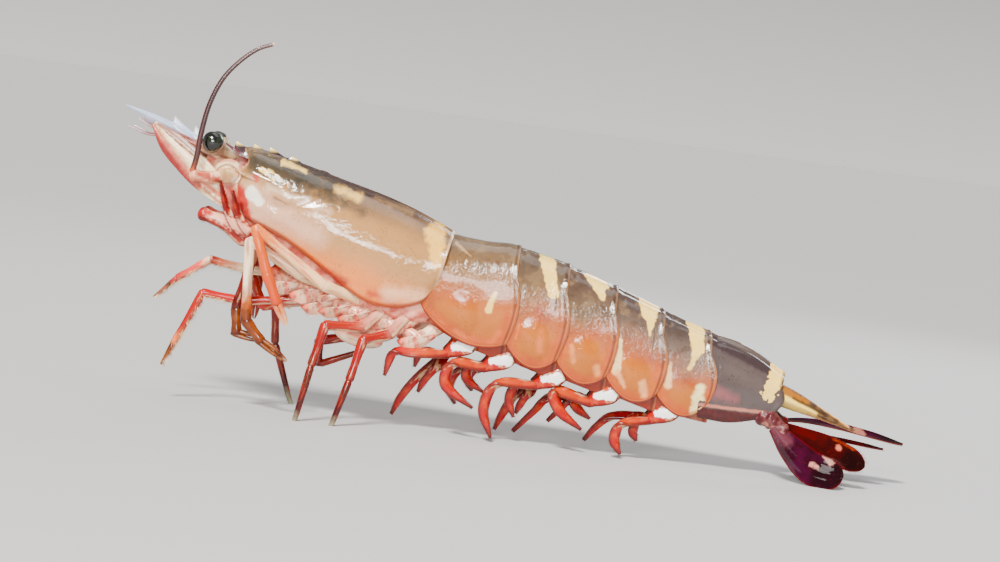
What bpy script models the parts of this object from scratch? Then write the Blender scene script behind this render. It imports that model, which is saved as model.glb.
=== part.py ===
"""Black tiger prawn, Penaeus monodon: a still, life-size model that stands on the floor.

The head points to -X, the tail to +X and the animal's left side to -Y. The body is pitched
nose up and rests on three walking legs and on the lower edge of the left tail fan.

Two measures of place are used, both in millimetres. at(x, y, z) is a place over the floor.
on_body(s, h, y) runs along the body: s tailwards from the tip of the rostrum, h towards the
back, y to the right.
"""

import math

import bmesh
import bpy
from mathutils import Vector

MM = 0.001
GAP = 0.3
SHELL_GAP = 0.5
WELD = 0.002
FLAT_ANGLE = math.radians(0.3)

# The middle of the model's outline on the floor, which becomes the origin
CENTRE_X = 81.23
CENTRE_Y = 0.51

# The tip of the rostrum over the floor, and how far the body is pitched nose up
ROSTRUM_TIP_X = -72.9
ROSTRUM_TIP_Z = 105.9
PITCH = math.radians(16.2)

SIDES = (("L", -1), ("R", 1))

# A shell's half outline runs from the back to the lower rim over this angle
RIM_ANGLE = math.radians(125)
SIDE_STEPS = 8
SIDE_FULLNESS = 0.8
KEEL_HALF = 0.9
KEEL_GROOVE = 2.2
RIM_THICK = 1.7

# Carapace: s, lean, top, lower rim, half width
CARAPACE_STATIONS = (
    (50.0, 0.33, 2.6, -17.5, 9.6),
    (54.0, 0.33, 4.0, -19.7, 11.4),
    (62.0, 0.30, 5.0, -20.0, 13.0),
    (74.0, 0.25, 5.9, -21.4, 14.8),
    (88.0, 0.20, 6.5, -25.0, 16.2),
    (100.0, 0.15, 7.2, -28.2, 17.0),
    (108.0, 0.12, 7.4, -29.6, 17.2),
    (116.0, 0.10, 7.2, -28.8, 17.0),
    (124.0, 0.10, 6.5, -25.5, 16.6),
    (129.5, 0.10, 5.9, -21.0, 16.3),
    (132.5, 0.10, 5.4, -15.0, 16.0),
)
CARAPACE_KEEL = 0.8
CARAPACE_RECESS = 7.0
LEAN_CENTRE = -8.0
# The notch over each eye, cut back into the front rim: its depth on the first sections, its height
ORBIT_DEPTHS = (3.4, 1.4)
ORBIT_HEIGHT = -0.5
ORBIT_SPAN = 3.2
# Spines on the sides of the carapace: root and tip as s, h, y
SIDE_SPINES = (
    ((57.0, -5.6, 11.2), (47.0, -5.2, 11.6)),
    ((72.0, -8.2, 13.4), (63.5, -7.6, 15.2)),
)
SIDE_SPINE_RADIUS = 1.3

# Rostrum: s, upper edge, lower edge, half thickness
ROSTRUM_STATIONS = (
    (0.0, 0.3, -0.3, 0.25),
    (12.0, 1.2, -1.6, 0.6),
    (22.0, 1.0, -3.2, 0.9),
    (32.0, 0.6, -4.2, 1.1),
    (42.0, 1.0, -4.6, 1.6),
    (52.0, 2.6, -3.5, 2.6),
    (64.0, 4.6, -1.0, 3.2),
)
UPPER_TEETH = (20.0, 28.5, 37.0, 44.5, 50.5, 57.0, 66.0)
LOWER_TEETH = (9.5, 15.0, 21.5)
TOOTH_LENGTH = 7.5
TOOTH_HEIGHT = 2.6
TOOTH_HALF_THICK = 0.7
TOOTH_SINK = 1.6

# Abdomen: s, lean, top, lower rim, half width, belly
ABDOMEN_STATIONS = (
    (127.0, 0.05, 5.0, -24.0, 14.6, -27.0),
    (131.0, 0.08, 5.4, -27.0, 15.0, -29.0),
    (146.0, 0.18, 8.0, -29.5, 15.6, -31.5),
    (161.0, 0.26, 11.2, -29.0, 15.4, -31.0),
    (181.0, 0.26, 12.2, -27.4, 14.6, -29.5),
    (200.6, 0.27, 11.6, -25.4, 13.4, -27.5),
    (220.5, 0.30, 10.4, -24.0, 11.8, -25.5),
    (240.6, 0.36, 9.8, -20.0, 9.6, -21.5),
    (254.0, 0.25, 10.4, -15.6, 8.4, -17.0),
    (266.0, 0.05, 6.6, -9.6, 6.8, -11.0),
)
SOMITE_ENDS = (127.0, 161.0, 181.0, 200.6, 220.5, 240.6, 266.0)
SOMITE_STEPS = 6
SOMITE_OVERLAP = 4.0
SOMITE_FLARE = 0.7
PLEURON_LOBES = (8.0, 9.0, 9.0, 9.0, 9.5, 1.5)
PLEURON_SWEEP = 2.6
ABDOMEN_KEELS = (0.0, 0.0, 0.3, 0.7, 0.9, 1.0)
CAP_CENTRE = 0.2

# Front of the head under the carapace: s, lean, top, lower rim, half width, belly
HEAD_STATIONS = (
    (36.5, 0.3, -3.5, -10.5, 3.0, -10.8),
    (40.0, 0.3, -2.0, -14.0, 6.0, -14.6),
    (46.0, 0.3, -0.5, -17.5, 8.2, -18.5),
    (54.0, 0.3, 0.5, -20.0, 9.0, -22.0),
    (62.0, 0.3, 0.5, -21.5, 9.0, -24.5),
)
# Underside of the thorax, between the carapace rims: s, lean, top, lower rim, half width, belly
THORAX_STATIONS = (
    (60.0, 0.3, -12.0, -22.0, 7.0, -24.5),
    (70.0, 0.2, -13.0, -24.5, 8.6, -27.0),
    (84.0, 0.2, -15.0, -28.5, 10.6, -31.0),
    (98.0, 0.1, -17.0, -31.0, 12.0, -33.5),
    (112.0, 0.1, -17.0, -31.5, 12.4, -34.0),
    (126.0, 0.1, -14.0, -29.5, 12.0, -32.0),
    (135.0, 0.1, -12.0, -26.0, 11.0, -28.5),
)

# Eyes and their stalks, on the left side; the right side mirrors them
EYE_RADIUS = 4.1
EYE_CENTRE = (-38.0, 9.0, 96.6)
STALK_ROOT = (-30.0, 3.0, 91.5)
STALK_RADIUS = 2.2

# Walking legs: coxa, basis, knee, wrist, knuckle, tip over the floor
LEGS = {
    "L": (
        ((5, -7, 49), (-6, -9.5, 55.5), (-17.2, -10.5, 61),
         (-21.5, -11, 37), (-20.3, -11.5, 28), (-10, -12, 26.3)),
        ((14.5, -10.5, 45.5), (1, -15.2, 52.5), (-19.3, -16, 62.8),
         (-17, -16.5, 33.5), (-10.5, -16.5, 26.5), (0, -17, 20.5)),
        ((23.4, -12.5, 43), (10, -18.2, 50), (-17.3, -21.8, 68),
         (-11, -22, 52), (-6, -22, 41.5), (-1.5, -22, 34)),
        ((32.2, -11.5, 41), (26, -16.5, 36.5), (12.5, -21.5, 36), (9.5, -23.5, 21), (6, -25, -0.6)),
        ((40.5, -10.5, 40.5), (36, -15.5, 35), (27, -21, 32.5), (24, -23.5, 17.5), (19.5, -25.5, -0.6)),
    ),
    "R": (
        ((5, 7, 49), (6, 10, 42.5), (-14, 13.5, 37), (-19, 13.5, 47), (-19.5, 12.8, 53.5), (-18.5, 12.3, 61)),
        ((14.5, 10.5, 45.5), (1, 15.2, 52.5), (-18, 17.3, 62),
         (-17.5, 17.5, 46.5), (-17, 17.5, 39.5), (-17, 17, 31.5)),
        ((23.4, 12.5, 43), (10, 18.2, 50), (-14, 21.5, 66), (-10, 20, 52.5), (-7, 18.5, 44), (-4, 17.5, 37)),
        ((32.2, 11.5, 41), (22, 18, 37.5), (-10.5, 24, 41.5), (-8.5, 25, 23), (0.5, 26.5, -0.6)),
        ((40.5, 10.5, 40.5), (33.5, 15, 33), (8.5, 18, 26.5), (9.5, 18, 17.5), (25, 18, 24.5)),
    ),
}
LEG_RADII = (2.7, 2.1, 1.9, 1.5, 1.5)
LEG_KNEE = 2
TOE_RADII = (1.4, 1.3, 1.1)
CLAWED_LEGS = 3
FINGER_SPREAD = 0.85

# Third maxillipeds: long feeler-like limbs under the mouth
THIRD_MAXILLIPEDS = {
    "L": ((-3, -3.6, 53), (2.5, -3.6, 43), (-20, -5.2, 39.5),
          (-35, -6.8, 40.8), (-43.5, -7.5, 20.5), (-47, -8, 12.5)),
    "R": ((0, 5, 53), (-5, 7, 50.5), (-20, 8.2, 50.4),
          (-35.5, 9.5, 52.3), (-47, 10.5, 43.8), (-55, 11, 35.5)),
}
THIRD_RADII = (2.7, 1.8, 1.7, 1.6, 1.3)
THIRD_KNEE = 3
THIRD_END_RADIUS = 1.15

# Second maxillipeds: a blunt limb forward and two feathery branches up, left side
SECOND_LIMB = ((-15, 4.5, 64), (-23, 6, 62.3), (-31.5, 7, 68), (-38.6, 7.3, 69.8))
SECOND_RADII = (2.8, 2.7, 2.6)
FEATHERS = (
    ((-18, 7, 62.5), (-24, 10.5, 65.5), (-29.5, 12.0, 73), (-33.2, 12.8, 83.2)),
    ((-15, 9, 63.5), (-20, 12.6, 65.5), (-24.8, 13.9, 71.5), (-28.0, 14.3, 80.2)),
)
FEATHER_HALF_WIDTHS = (1.6, 1.7, 1.4, 0.5)

# Antennules, antennae and antennal scales, left side
ANTENNULE_PEDUNCLE = ((-35, 3.4, 91.5), (-43, 3.8, 94.3), (-49, 3.9, 96.2), (-55, 4.0, 98.0))
ANTENNULE_RADII = (2.0, 1.7, 1.4)
ANTENNULE_LASHES = (
    ((-54, 4.6, 97.6), (-62, 6.4, 96.3), (-70, 8.0, 98.6)),
    ((-54, 3.4, 98.2), (-61, 3.2, 99.0), (-67, 3.0, 101.6)),
)
LASH_RADIUS = 0.55
ANTENNA_BULGE = ((-31, 7.4, 87), 5.4)
ANTENNA_PEDUNCLE = ((-32, 8, 85), (-37.5, 10.3, 83.6), (-43.6, 12.6, 83.8))
ANTENNA_RADII = (3.1, 2.3)
FLAGELLA = {
    "L": ((-43.8, -12.8, 85), (-42.8, -13.3, 91), (-42.2, -13.5, 100), (-40.5, -13.3, 110.5),
          (-37, -12.8, 120), (-32, -12, 127), (-26, -11.2, 132.5), (-20, -10.5, 135.5)),
    "R": ((-43.8, 12.8, 85), (-44.0, 14.5, 88), (-40, 17.5, 91), (-31, 20, 90.5), (-20, 21.5, 88),
          (-8, 22.3, 84.5), (4, 22.5, 80.5), (15, 22.3, 76)),
}
FLAGELLUM_RADII = (1.15, 0.7)
SCALE_PATH = ((-35, 7.2, 79.5), (-40.5, 7.6, 83.5), (-47, 7.8, 89), (-54, 7.8, 94.6), (-60.6, 7.6, 100.6))
SCALE_HALF_WIDTHS = (3.4, 5.3, 5.4, 4.3, 1.2)

# Pleopods: the s of each root, and the path of each long branch over the floor
PLEOPOD_ROOTS = (150.0, 165.0, 185.0, 206.0, 229.0)
PROTOPOD_RADIUS = 3.6
PROTOPOD_LENGTH = 8.5
PROTOPOD_SINK = 4.0
PLEOPOD_BRANCHES = {
    "L": (
        ((57, 31.5), (47, 29.5), (38.5, 28.5), (36, 19.5)),
        ((73, 30.5), (61, 27.5), (59, 19), (70, 11.8)),
        ((89, 26.5), (78, 22), (74, 12), (78, 1.6)),
        ((108, 25.5), (100, 22), (102, 15), (111, 9)),
        ((133, 17.5), (126, 13), (123.6, 7), (126.5, 1.6)),
    ),
    "R": (
        ((58, 27), (49, 20), (43, 11), (39.5, 3)),
        ((72, 27), (64, 24), (60, 17), (63, 10)),
        ((91, 25), (85, 16), (81.5, 9), (79, 2.5)),
        ((108, 23), (99, 18), (93, 11.5), (86, 2.8)),
        ((131, 17.5), (123, 14), (117, 9), (113, 3.2)),
    ),
}
BRANCH_HALF_WIDTHS = (1.8, 2.6, 2.3, 0.8)
BRANCH_HALF_DEPTH = 1.25
BRANCH_ACROSS = (0.35, 1.0, 0.2)
INNER_BRANCH = 0.62

# Tail fan
TELSON_PATH = ((180, 0, 31.5), (188, 0, 29.5), (200, 0, 25.5), (213, 0, 20.8))
TELSON_HALF_WIDTHS = (6.0, 5.6, 3.6, 0.7)
TELSON_HALF_DEPTHS = (3.6, 3.4, 2.0, 0.5)
TELSON_GROOVE = 1.0
FAN_BASES = {
    "L": ((177, -4.5, 22.5), (184.5, -7.4, 19)),
    "R": ((177, 4.5, 22.5), (185.5, 7.6, 20.5)),
}
FAN_BASE_RADIUS = 3.6
# Outer and inner blades: path, half widths, and the direction across the blade
FAN_BLADES = {
    "L": (
        (((182, -8, 19.5), (189, -10.2, 12.6), (196.5, -12.5, 6.6), (203, -14.5, 4.1), (209, -16, 4.3)),
         (2.4, 5.0, 6.6, 5.4, 1.8), (0.55, 0.25, 0.8)),
        (((184, -6, 20), (192, -5.6, 17.4), (201, -6.4, 15), (210, -7.4, 11.6), (217.3, -8.2, 8.8)),
         (1.6, 3.1, 4.1, 4.3, 1.8), (0.4, 0.25, 0.85)),
    ),
    "R": (
        (((183, 8, 20.5), (195, 12, 21.2), (208, 16.5, 20.4), (222, 21.2, 18.4), (235, 24.9, 16.0)),
         (2.4, 5.2, 6.8, 6.0, 1.6), (0.3, 1.0, 0.05)),
        (((184, 6, 18.3), (195, 7.2, 17.2), (206, 8.6, 16.4), (217, 10, 15.4), (226, 11.2, 14.4)),
         (1.6, 3.3, 4.4, 4.2, 1.6), (0.1, 1.0, 0.05)),
    ),
}
FAN_HALF_DEPTH = 0.65
FAN_RIB = 0.35


def at(x, y, z):
    """A place over the floor, in metres."""
    return Vector((x - CENTRE_X, y - CENTRE_Y, z)) * MM


def on_body(s, h, y):
    """A place measured along the pitched body, in metres."""
    x = ROSTRUM_TIP_X + s * math.cos(PITCH) + h * math.sin(PITCH)
    z = ROSTRUM_TIP_Z - s * math.sin(PITCH) + h * math.cos(PITCH)
    return at(x, y, z)


def mirrored(points, side):
    """Points given for positive y, moved to the side wanted."""
    return [(x, y * side, z) for x, y, z in points]


def read_table(stations, s):
    """The row of a table of stations at s, eased between the two nearest rows."""
    if s <= stations[0][0]:
        return stations[0][1:]
    for low, high in zip(stations, stations[1:]):
        if s <= high[0]:
            part = (s - low[0]) / (high[0] - low[0])
            return tuple(a + (b - a) * part for a, b in zip(low[1:], high[1:]))
    return stations[-1][1:]


def curve_through(points, steps):
    """Points along a smooth curve through the given ones, steps to each stretch."""
    guides = [Vector(p) for p in points]
    guides = [guides[0] * 2 - guides[1]] + guides + [guides[-1] * 2 - guides[-2]]
    path = []
    for i in range(1, len(guides) - 2):
        a, b, c, d = guides[i - 1:i + 3]
        for k in range(steps):
            t = k / steps
            path.append(0.5 * (2 * b + (c - a) * t + (2 * a - 5 * b + 4 * c - d) * t * t
                               + (3 * b - a - 3 * c + d) * t * t * t))
    return path + [guides[-2]]


def make_object(name, mesh_data):
    """An object in the scene from a bmesh, with its faces turned outwards."""
    bmesh.ops.recalc_face_normals(mesh_data, faces=mesh_data.faces)
    mesh = bpy.data.meshes.new(name)
    mesh_data.to_mesh(mesh)
    mesh_data.free()
    made = bpy.data.objects.new(name, mesh)
    bpy.context.scene.collection.objects.link(made)
    return made


def loft(name, rings, split=None, flat_sides=False, cap_centre=None):
    """A closed solid through rings of equal count. Past index split the quads are cut the other
    way, so that the two faces of a thin blade are split alike. Flat sides are left uncut. With a
    cap centre, each end fans out from that share of the way down the ring's height."""
    shape = bmesh.new()
    rows = [[shape.verts.new(p) for p in ring] for ring in rings]
    count = len(rings[0])
    for row, after in zip(rows, rows[1:]):
        for j in range(count):
            k = (j + 1) % count
            if flat_sides:
                shape.faces.new((row[j], row[k], after[k], after[j]))
            elif split is not None and j >= split:
                shape.faces.new((row[j], row[k], after[j]))
                shape.faces.new((row[k], after[k], after[j]))
            else:
                shape.faces.new((row[j], row[k], after[k]))
                shape.faces.new((row[j], after[k], after[j]))
    for row in (rows[0], rows[-1]):
        if cap_centre is None:
            cap = shape.faces.new(row)
            if not flat_sides:
                bmesh.ops.triangulate(shape, faces=[cap])
        else:
            middle = shape.verts.new(row[0].co.lerp(row[count // 2].co, cap_centre))
            for j in range(count):
                shape.faces.new((row[j], row[(j + 1) % count], middle))
    return make_object(name, shape)


def tube(name, path, radii, sides=6, straight=False):
    """A closed tube with round sections square to its path."""
    points = [at(*p) for p in path]
    rings = []
    side_way = None
    for i, point in enumerate(points):
        ahead = (points[min(i + 1, len(points) - 1)] - points[max(i - 1, 0)]).normalized()
        if side_way is None:
            side_way = ahead.orthogonal().normalized()
        side_way = (side_way - ahead * side_way.dot(ahead)).normalized()
        other_way = ahead.cross(side_way)
        ring = []
        for j in range(sides):
            turn = 2 * math.pi * j / sides
            ring.append(point + (side_way * math.cos(turn) + other_way * math.sin(turn)) * radii[i] * MM)
        rings.append(ring)
    return loft(name, rings, flat_sides=straight)


def segment(name, start, end, start_radius, end_radius, sides=6):
    """One joint of a limb: a tapered rod with rounded ends that reach a little past both joints."""
    a = Vector(start)
    b = Vector(end)
    way = (b - a).normalized()
    path = (
        a - way * start_radius * 0.6,
        a + way * start_radius * 0.3,
        b - way * end_radius * 0.3,
        b + way * end_radius * 0.6,
    )
    return tube(name, path, (start_radius * 0.55, start_radius, end_radius, end_radius * 0.55), sides, True)


def cone(name, start, end, radius, sides=5):
    """A tapered spike with a narrow blunt tip."""
    a = Vector(start)
    b = Vector(end)
    middle = a.lerp(b, 0.55)
    return tube(name, (a, middle, b), (radius, radius * 0.75, radius * 0.25), sides, True)


def blade(name, path, half_widths, half_depths, across, rib=0.0, edge=0.28):
    """A thin blade along a path, thickest in the middle, with a rib along its upper face."""
    points = [at(*p) for p in path]
    across = Vector(across).normalized()
    rings = []
    for i, point in enumerate(points):
        ahead = (points[min(i + 1, len(points) - 1)] - points[max(i - 1, 0)]).normalized()
        side_way = (across - ahead * across.dot(ahead)).normalized()
        up = ahead.cross(side_way)
        w = half_widths[i]
        t = half_depths[i]
        outline = (
            (-w, edge), (-0.4 * w, 0.8 * t), (0, t + rib), (0.4 * w, 0.8 * t),
            (w, edge), (w, -edge), (0, -t), (-w, -edge),
        )
        rings.append([point + (side_way * u + up * v) * MM for u, v in outline])
    return loft(name, rings, split=5)


def ball(name, centre, radius, segments=12, rings=8):
    """A round solid."""
    shape = bmesh.new()
    bmesh.ops.create_uvsphere(shape, u_segments=segments, v_segments=rings, radius=radius * MM)
    bmesh.ops.translate(shape, verts=shape.verts, vec=at(*centre))
    return make_object(name, shape)


def shell_ring(s, lean, top, rim, half_width, belly, keel=0.0, sweep=0.0, orbit=0.0):
    """One section of the body: over the back, down to the rim of the side plate, and back under the
    belly, which lies higher or lower than the rim. Sweep moves the lower side tailwards, and orbit
    the places beside the eye."""
    tall = (top - rim) / (1 - math.cos(RIM_ANGLE))
    middle = top - tall
    half = [
        (0.0, top + keel, 0.0),
        (KEEL_HALF, top + 0.7 * keel, 0.0),
        (KEEL_GROOVE, top - 0.5 * keel - 0.1, 0.0),
    ]
    for i in range(2, SIDE_STEPS + 2):
        part = i / (SIDE_STEPS + 1)
        angle = RIM_ANGLE * part
        y = half_width * math.sin(angle) ** SIDE_FULLNESS
        h = middle + tall * math.cos(angle)
        low_part = min(max((part - 0.3) / 0.7, 0.0), 1.0)
        back = sweep * math.sin(math.pi * low_part ** 0.8)
        back += orbit * math.exp(-((h - ORBIT_HEIGHT) / ORBIT_SPAN) ** 2)
        half.append((y, h, back))
    rim_y = half[-1][0]
    notch_y = rim_y - min(3.2, 0.24 * half_width)
    notch_h = max(rim + 1.5, belly - 1.0)
    half += [
        (rim_y - RIM_THICK * min(1.0, half_width / 12), rim + 0.3, 0.0),
        (notch_y, notch_h, 0.0),
        (notch_y - 1.0, belly + 1.2, 0.0),
        (0.45 * half_width, belly + 0.2, 0.0),
    ]
    outline = half + [(0.0, belly, 0.0)] + [(-y, h, b) for y, h, b in reversed(half[1:])]
    return [on_body(s - lean * (h - LEAN_CENTRE) + b, h, y) for y, h, b in outline]


def block_ring(s, lean, top, rim, half_width, belly):
    """One plain section of the flesh between the shells."""
    tall = top - rim
    half = [
        (0.0, top), (0.7 * half_width, top - 0.12 * tall), (half_width, top - 0.5 * tall),
        (0.93 * half_width, rim), (0.55 * half_width, belly + 0.4),
    ]
    outline = half + [(0.0, belly)] + [(-y, h) for y, h in reversed(half[1:])]
    return [on_body(s - lean * (h - LEAN_CENTRE), h, y) for y, h in outline]


def body_loft(name, stations):
    """A closed stretch of flesh through a whole table of stations."""
    return loft(name, [block_ring(*row) for row in stations])


def volume_if_closed(mesh):
    """The volume of a mesh, or zero where it isn't one closed surface."""
    shape = bmesh.new()
    shape.from_mesh(mesh)
    closed = len(shape.faces) > 0 and all(edge.is_manifold for edge in shape.edges)
    volume = shape.calc_volume(signed=True) if closed else 0.0
    shape.free()
    return volume


def keep_largest(mesh):
    """Welds what a cut left nearly touching, and keeps only the largest closed surface."""
    shape = bmesh.new()
    shape.from_mesh(mesh)
    bmesh.ops.remove_doubles(shape, verts=shape.verts, dist=WELD * MM)
    bmesh.ops.dissolve_degenerate(shape, edges=shape.edges, dist=WELD * MM)
    bmesh.ops.dissolve_limit(shape, angle_limit=FLAT_ANGLE, verts=shape.verts, edges=shape.edges)
    bmesh.ops.triangulate(shape, faces=shape.faces)
    unseen = set(shape.faces)
    groups = []
    while unseen:
        front = [unseen.pop()]
        group = list(front)
        while front:
            for edge in front.pop().edges:
                for face in edge.link_faces:
                    if face in unseen:
                        unseen.remove(face)
                        group.append(face)
                        front.append(face)
        groups.append(group)
    groups.sort(key=len)
    for group in groups[:-1]:
        bmesh.ops.delete(shape, geom=group, context="FACES")
    shape.to_mesh(mesh)
    shape.free()


def boolean(target, pieces, operation, least):
    """Joins or cuts an object with closed pieces, which are then removed. The result has to be
    closed and hold at least the given share of the volume that the object had before."""
    group = bpy.data.collections.new("pieces")
    bpy.context.scene.collection.children.link(group)
    for piece in pieces:
        group.objects.link(piece)
    before = volume_if_closed(target.data)
    change = target.modifiers.new(operation.lower(), "BOOLEAN")
    change.operation = operation
    change.operand_type = "COLLECTION"
    change.collection = group
    for solver in ("EXACT", "MANIFOLD"):
        change.solver = solver
        graph = bpy.context.evaluated_depsgraph_get()
        graph.update()
        mesh = bpy.data.meshes.new_from_object(target.evaluated_get(graph))
        keep_largest(mesh)
        if volume_if_closed(mesh) > before * least:
            break
    target.modifiers.clear()
    target.data = mesh
    for piece in pieces:
        bpy.data.objects.remove(piece)
    bpy.data.collections.remove(group)


def fuse(name, pieces):
    """One closed body from overlapping pieces."""
    body = pieces[0]
    body.name = name
    if len(pieces) > 1:
        boolean(body, pieces[1:], "UNION", 0.95)
    return body


def grown(source, by):
    """A copy of a solid with its surface moved out, to cut its neighbours clear of it."""
    shape = bmesh.new()
    shape.from_mesh(source.data)
    bmesh.ops.remove_doubles(shape, verts=shape.verts, dist=WELD * MM)
    shape.normal_update()
    moves = [(vert, vert.normal * vert.calc_shell_factor() * by * MM) for vert in shape.verts]
    for vert, move in moves:
        vert.co += move
    return make_object("cutter", shape)


def trim(target, *neighbours, gap=GAP):
    """Cuts an object clear of its neighbours by the gap."""
    for neighbour in neighbours:
        boolean(target, [grown(neighbour, gap)], "DIFFERENCE", 0.1)
    return target


def stand_flat(target):
    """Cuts off what reaches under the floor and closes the cut with a flat."""
    shape = bmesh.new()
    shape.from_mesh(target.data)
    everything = shape.verts[:] + shape.edges[:] + shape.faces[:]
    bmesh.ops.bisect_plane(shape, geom=everything, plane_co=(0, 0, 0), plane_no=(0, 0, 1), clear_inner=True)
    rim = [edge for edge in shape.edges if edge.is_boundary]
    bmesh.ops.holes_fill(shape, edges=rim, sides=0)
    bmesh.ops.triangulate(shape, faces=shape.faces)
    bmesh.ops.recalc_face_normals(shape, faces=shape.faces)
    shape.to_mesh(target.data)
    shape.free()


def material(name, colour, roughness=0.25):
    """A plain glossy or matte surface in one colour."""
    made = bpy.data.materials.new(name)
    made.use_nodes = True
    shader = made.node_tree.nodes["Principled BSDF"]
    shader.inputs["Base Color"].default_value = (*colour, 1.0)
    shader.inputs["Roughness"].default_value = roughness
    shader.inputs["Metallic"].default_value = 0.0
    return made


def finish(target, surface):
    """Gives a piece its surface and smooth shading over its round sides."""
    target.data.materials.clear()
    target.data.materials.append(surface)
    target.data.shade_smooth()
    target.data.set_sharp_from_angle(angle=math.radians(40))


def rostral_tooth(s, edge, upwards):
    """One tooth of the rostrum: a thin triangle that leans forward, sunk into the edge."""
    lift = 1 if upwards else -1
    outline = (
        (s + TOOTH_LENGTH, edge - TOOTH_SINK * lift),
        (s + 1.5, edge - TOOTH_SINK * lift),
        (s - 1.0, edge + TOOTH_HEIGHT * 0.8 * lift),
        (s - 0.6, edge + TOOTH_HEIGHT * lift),
        (s + 2.2, edge + TOOTH_HEIGHT * 0.62 * lift),
    )
    widths = (1.0, 1.0, 0.3, 0.3, 0.7)
    left = [on_body(a, h, -TOOTH_HALF_THICK * w) for (a, h), w in zip(outline, widths)]
    right = [on_body(a, h, TOOTH_HALF_THICK * w) for (a, h), w in zip(outline, widths)]
    return loft("tooth", [left, right])


def rostrum():
    """The sharp beak over the eyes, a narrow diamond in section."""
    rings = []
    for s, upper, lower, half in ROSTRUM_STATIONS:
        middle = 0.55 * upper + 0.45 * lower
        rings.append([
            on_body(s, upper, 0.3 * half),
            on_body(s, middle, half),
            on_body(s, lower, 0.3 * half),
            on_body(s, lower, -0.3 * half),
            on_body(s, middle, -half),
            on_body(s, upper, -0.3 * half),
        ])
    return loft("rostrum", rings)


def plain_carapace(name):
    """The head shield before its beak, teeth and spines are joined to it."""
    rings = []
    for i, row in enumerate(CARAPACE_STATIONS):
        orbit = ORBIT_DEPTHS[i] if i < len(ORBIT_DEPTHS) else 0.0
        rings.append(shell_ring(*row, row[3] + CARAPACE_RECESS, keel=CARAPACE_KEEL, orbit=orbit))
    return loft(name, rings)


def carapace():
    """The head shield with its beak, teeth and side spines."""
    pieces = [plain_carapace("carapace"), rostrum()]
    for s in UPPER_TEETH:
        edge = read_table(ROSTRUM_STATIONS, s + 3)[0]
        pieces.append(rostral_tooth(s, edge + max(0.0, (s - 48) * 0.06), True))
    for s in LOWER_TEETH:
        edge = read_table(ROSTRUM_STATIONS, s + 3)[1]
        pieces.append(rostral_tooth(s, edge, False))
    for _, side in SIDES:
        for root, tip in SIDE_SPINES:
            pieces.append(side_spine(root, tip, side))
    return fuse("carapace", pieces)


def over_floor(s, h, y):
    """A place along the body as millimetres over the floor, for what at() then places."""
    return (on_body(s, h, y) - at(0, 0, 0)) / MM


def side_spine(root, tip, side):
    """A small spine on the side of the head shield, given along the body."""
    start = over_floor(root[0], root[1], root[2] * side)
    end = over_floor(tip[0], tip[1], tip[2] * side)
    return cone("spine", start, end, SIDE_SPINE_RADIUS)


def somite(index):
    """One ring of the abdomen: its back plate, its side plates and the belly between them."""
    start = SOMITE_ENDS[index]
    end = SOMITE_ENDS[index + 1]
    first = start - (SOMITE_OVERLAP if index else 0)
    rings = []
    for i in range(SOMITE_STEPS + 1):
        s = first + (end - first) * i / SOMITE_STEPS
        part = min(max((s - start) / (end - start), 0.0), 1.0)
        lean, top, rim, half_width, belly = read_table(ABDOMEN_STATIONS, s)
        lobe = PLEURON_LOBES[index] * (1 - math.sin(math.pi * (0.08 + 0.84 * part)) ** 0.7)
        flare = SOMITE_FLARE * (part ** 3 - 0.5)
        rings.append(shell_ring(
            s, lean, top + flare, rim + lobe, half_width + flare, belly + 1.2 * (1 - part),
            keel=ABDOMEN_KEELS[index], sweep=PLEURON_SWEEP * part ** 2,
        ))
    return loft(f"abdomen_{index + 1}", rings, cap_centre=CAP_CENTRE)


def limb_pieces(joints, radii):
    """The joints of a limb as overlapping rods."""
    pieces = []
    for i, (start, end) in enumerate(zip(joints, joints[1:])):
        radius = radii[min(i, len(radii) - 1)]
        after = radii[min(i + 1, len(radii) - 1)]
        pieces.append(segment("rod", start, end, radius, after * 0.92))
    return pieces


def claw_pieces(knuckle, tip, radius):
    """Two thin fingers that close on each other."""
    start = Vector(knuckle)
    end = Vector(tip)
    way = (end - start).normalized()
    apart = way.cross(Vector((0, 1, 0))).normalized() * FINGER_SPREAD
    back = start - way * radius
    return [
        cone("finger", back + apart, end + apart * 0.5, radius * 0.62),
        cone("finger", back - apart, end - apart * 0.5, radius * 0.62),
    ]


def last_joint(wrist, tip):
    """The single pointed joint that ends a leg with no claw."""
    start = Vector(wrist)
    end = Vector(tip)
    return tube("toe", (start, start.lerp(end, 0.5), end), TOE_RADII, 6, True)


def walking_leg(name, joints, clawed):
    """A walking leg in one piece, ending in a small claw or in a single pointed joint."""
    pieces = limb_pieces(joints[:-1], LEG_RADII)
    if clawed:
        pieces += claw_pieces(joints[-2], joints[-1], LEG_RADII[-1])
    else:
        pieces.append(last_joint(joints[-2], joints[-1]))
    return fuse(name, pieces)


def split_limb(name, joints, radii, knee, end_piece):
    """A limb in two nodes that meet at the knee: the thigh, and the shin with what ends it."""
    thigh = fuse(f"{name}_thigh", limb_pieces(joints[:knee + 1], radii))
    shin = fuse(f"{name}_shin", limb_pieces(joints[knee:-1], radii[knee:]) + [end_piece])
    cap = limb_pieces(joints[knee - 1:knee + 1], radii[knee - 1:])[0]
    trim(shin, cap)
    bpy.data.objects.remove(cap)
    return [thigh, shin]


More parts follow.
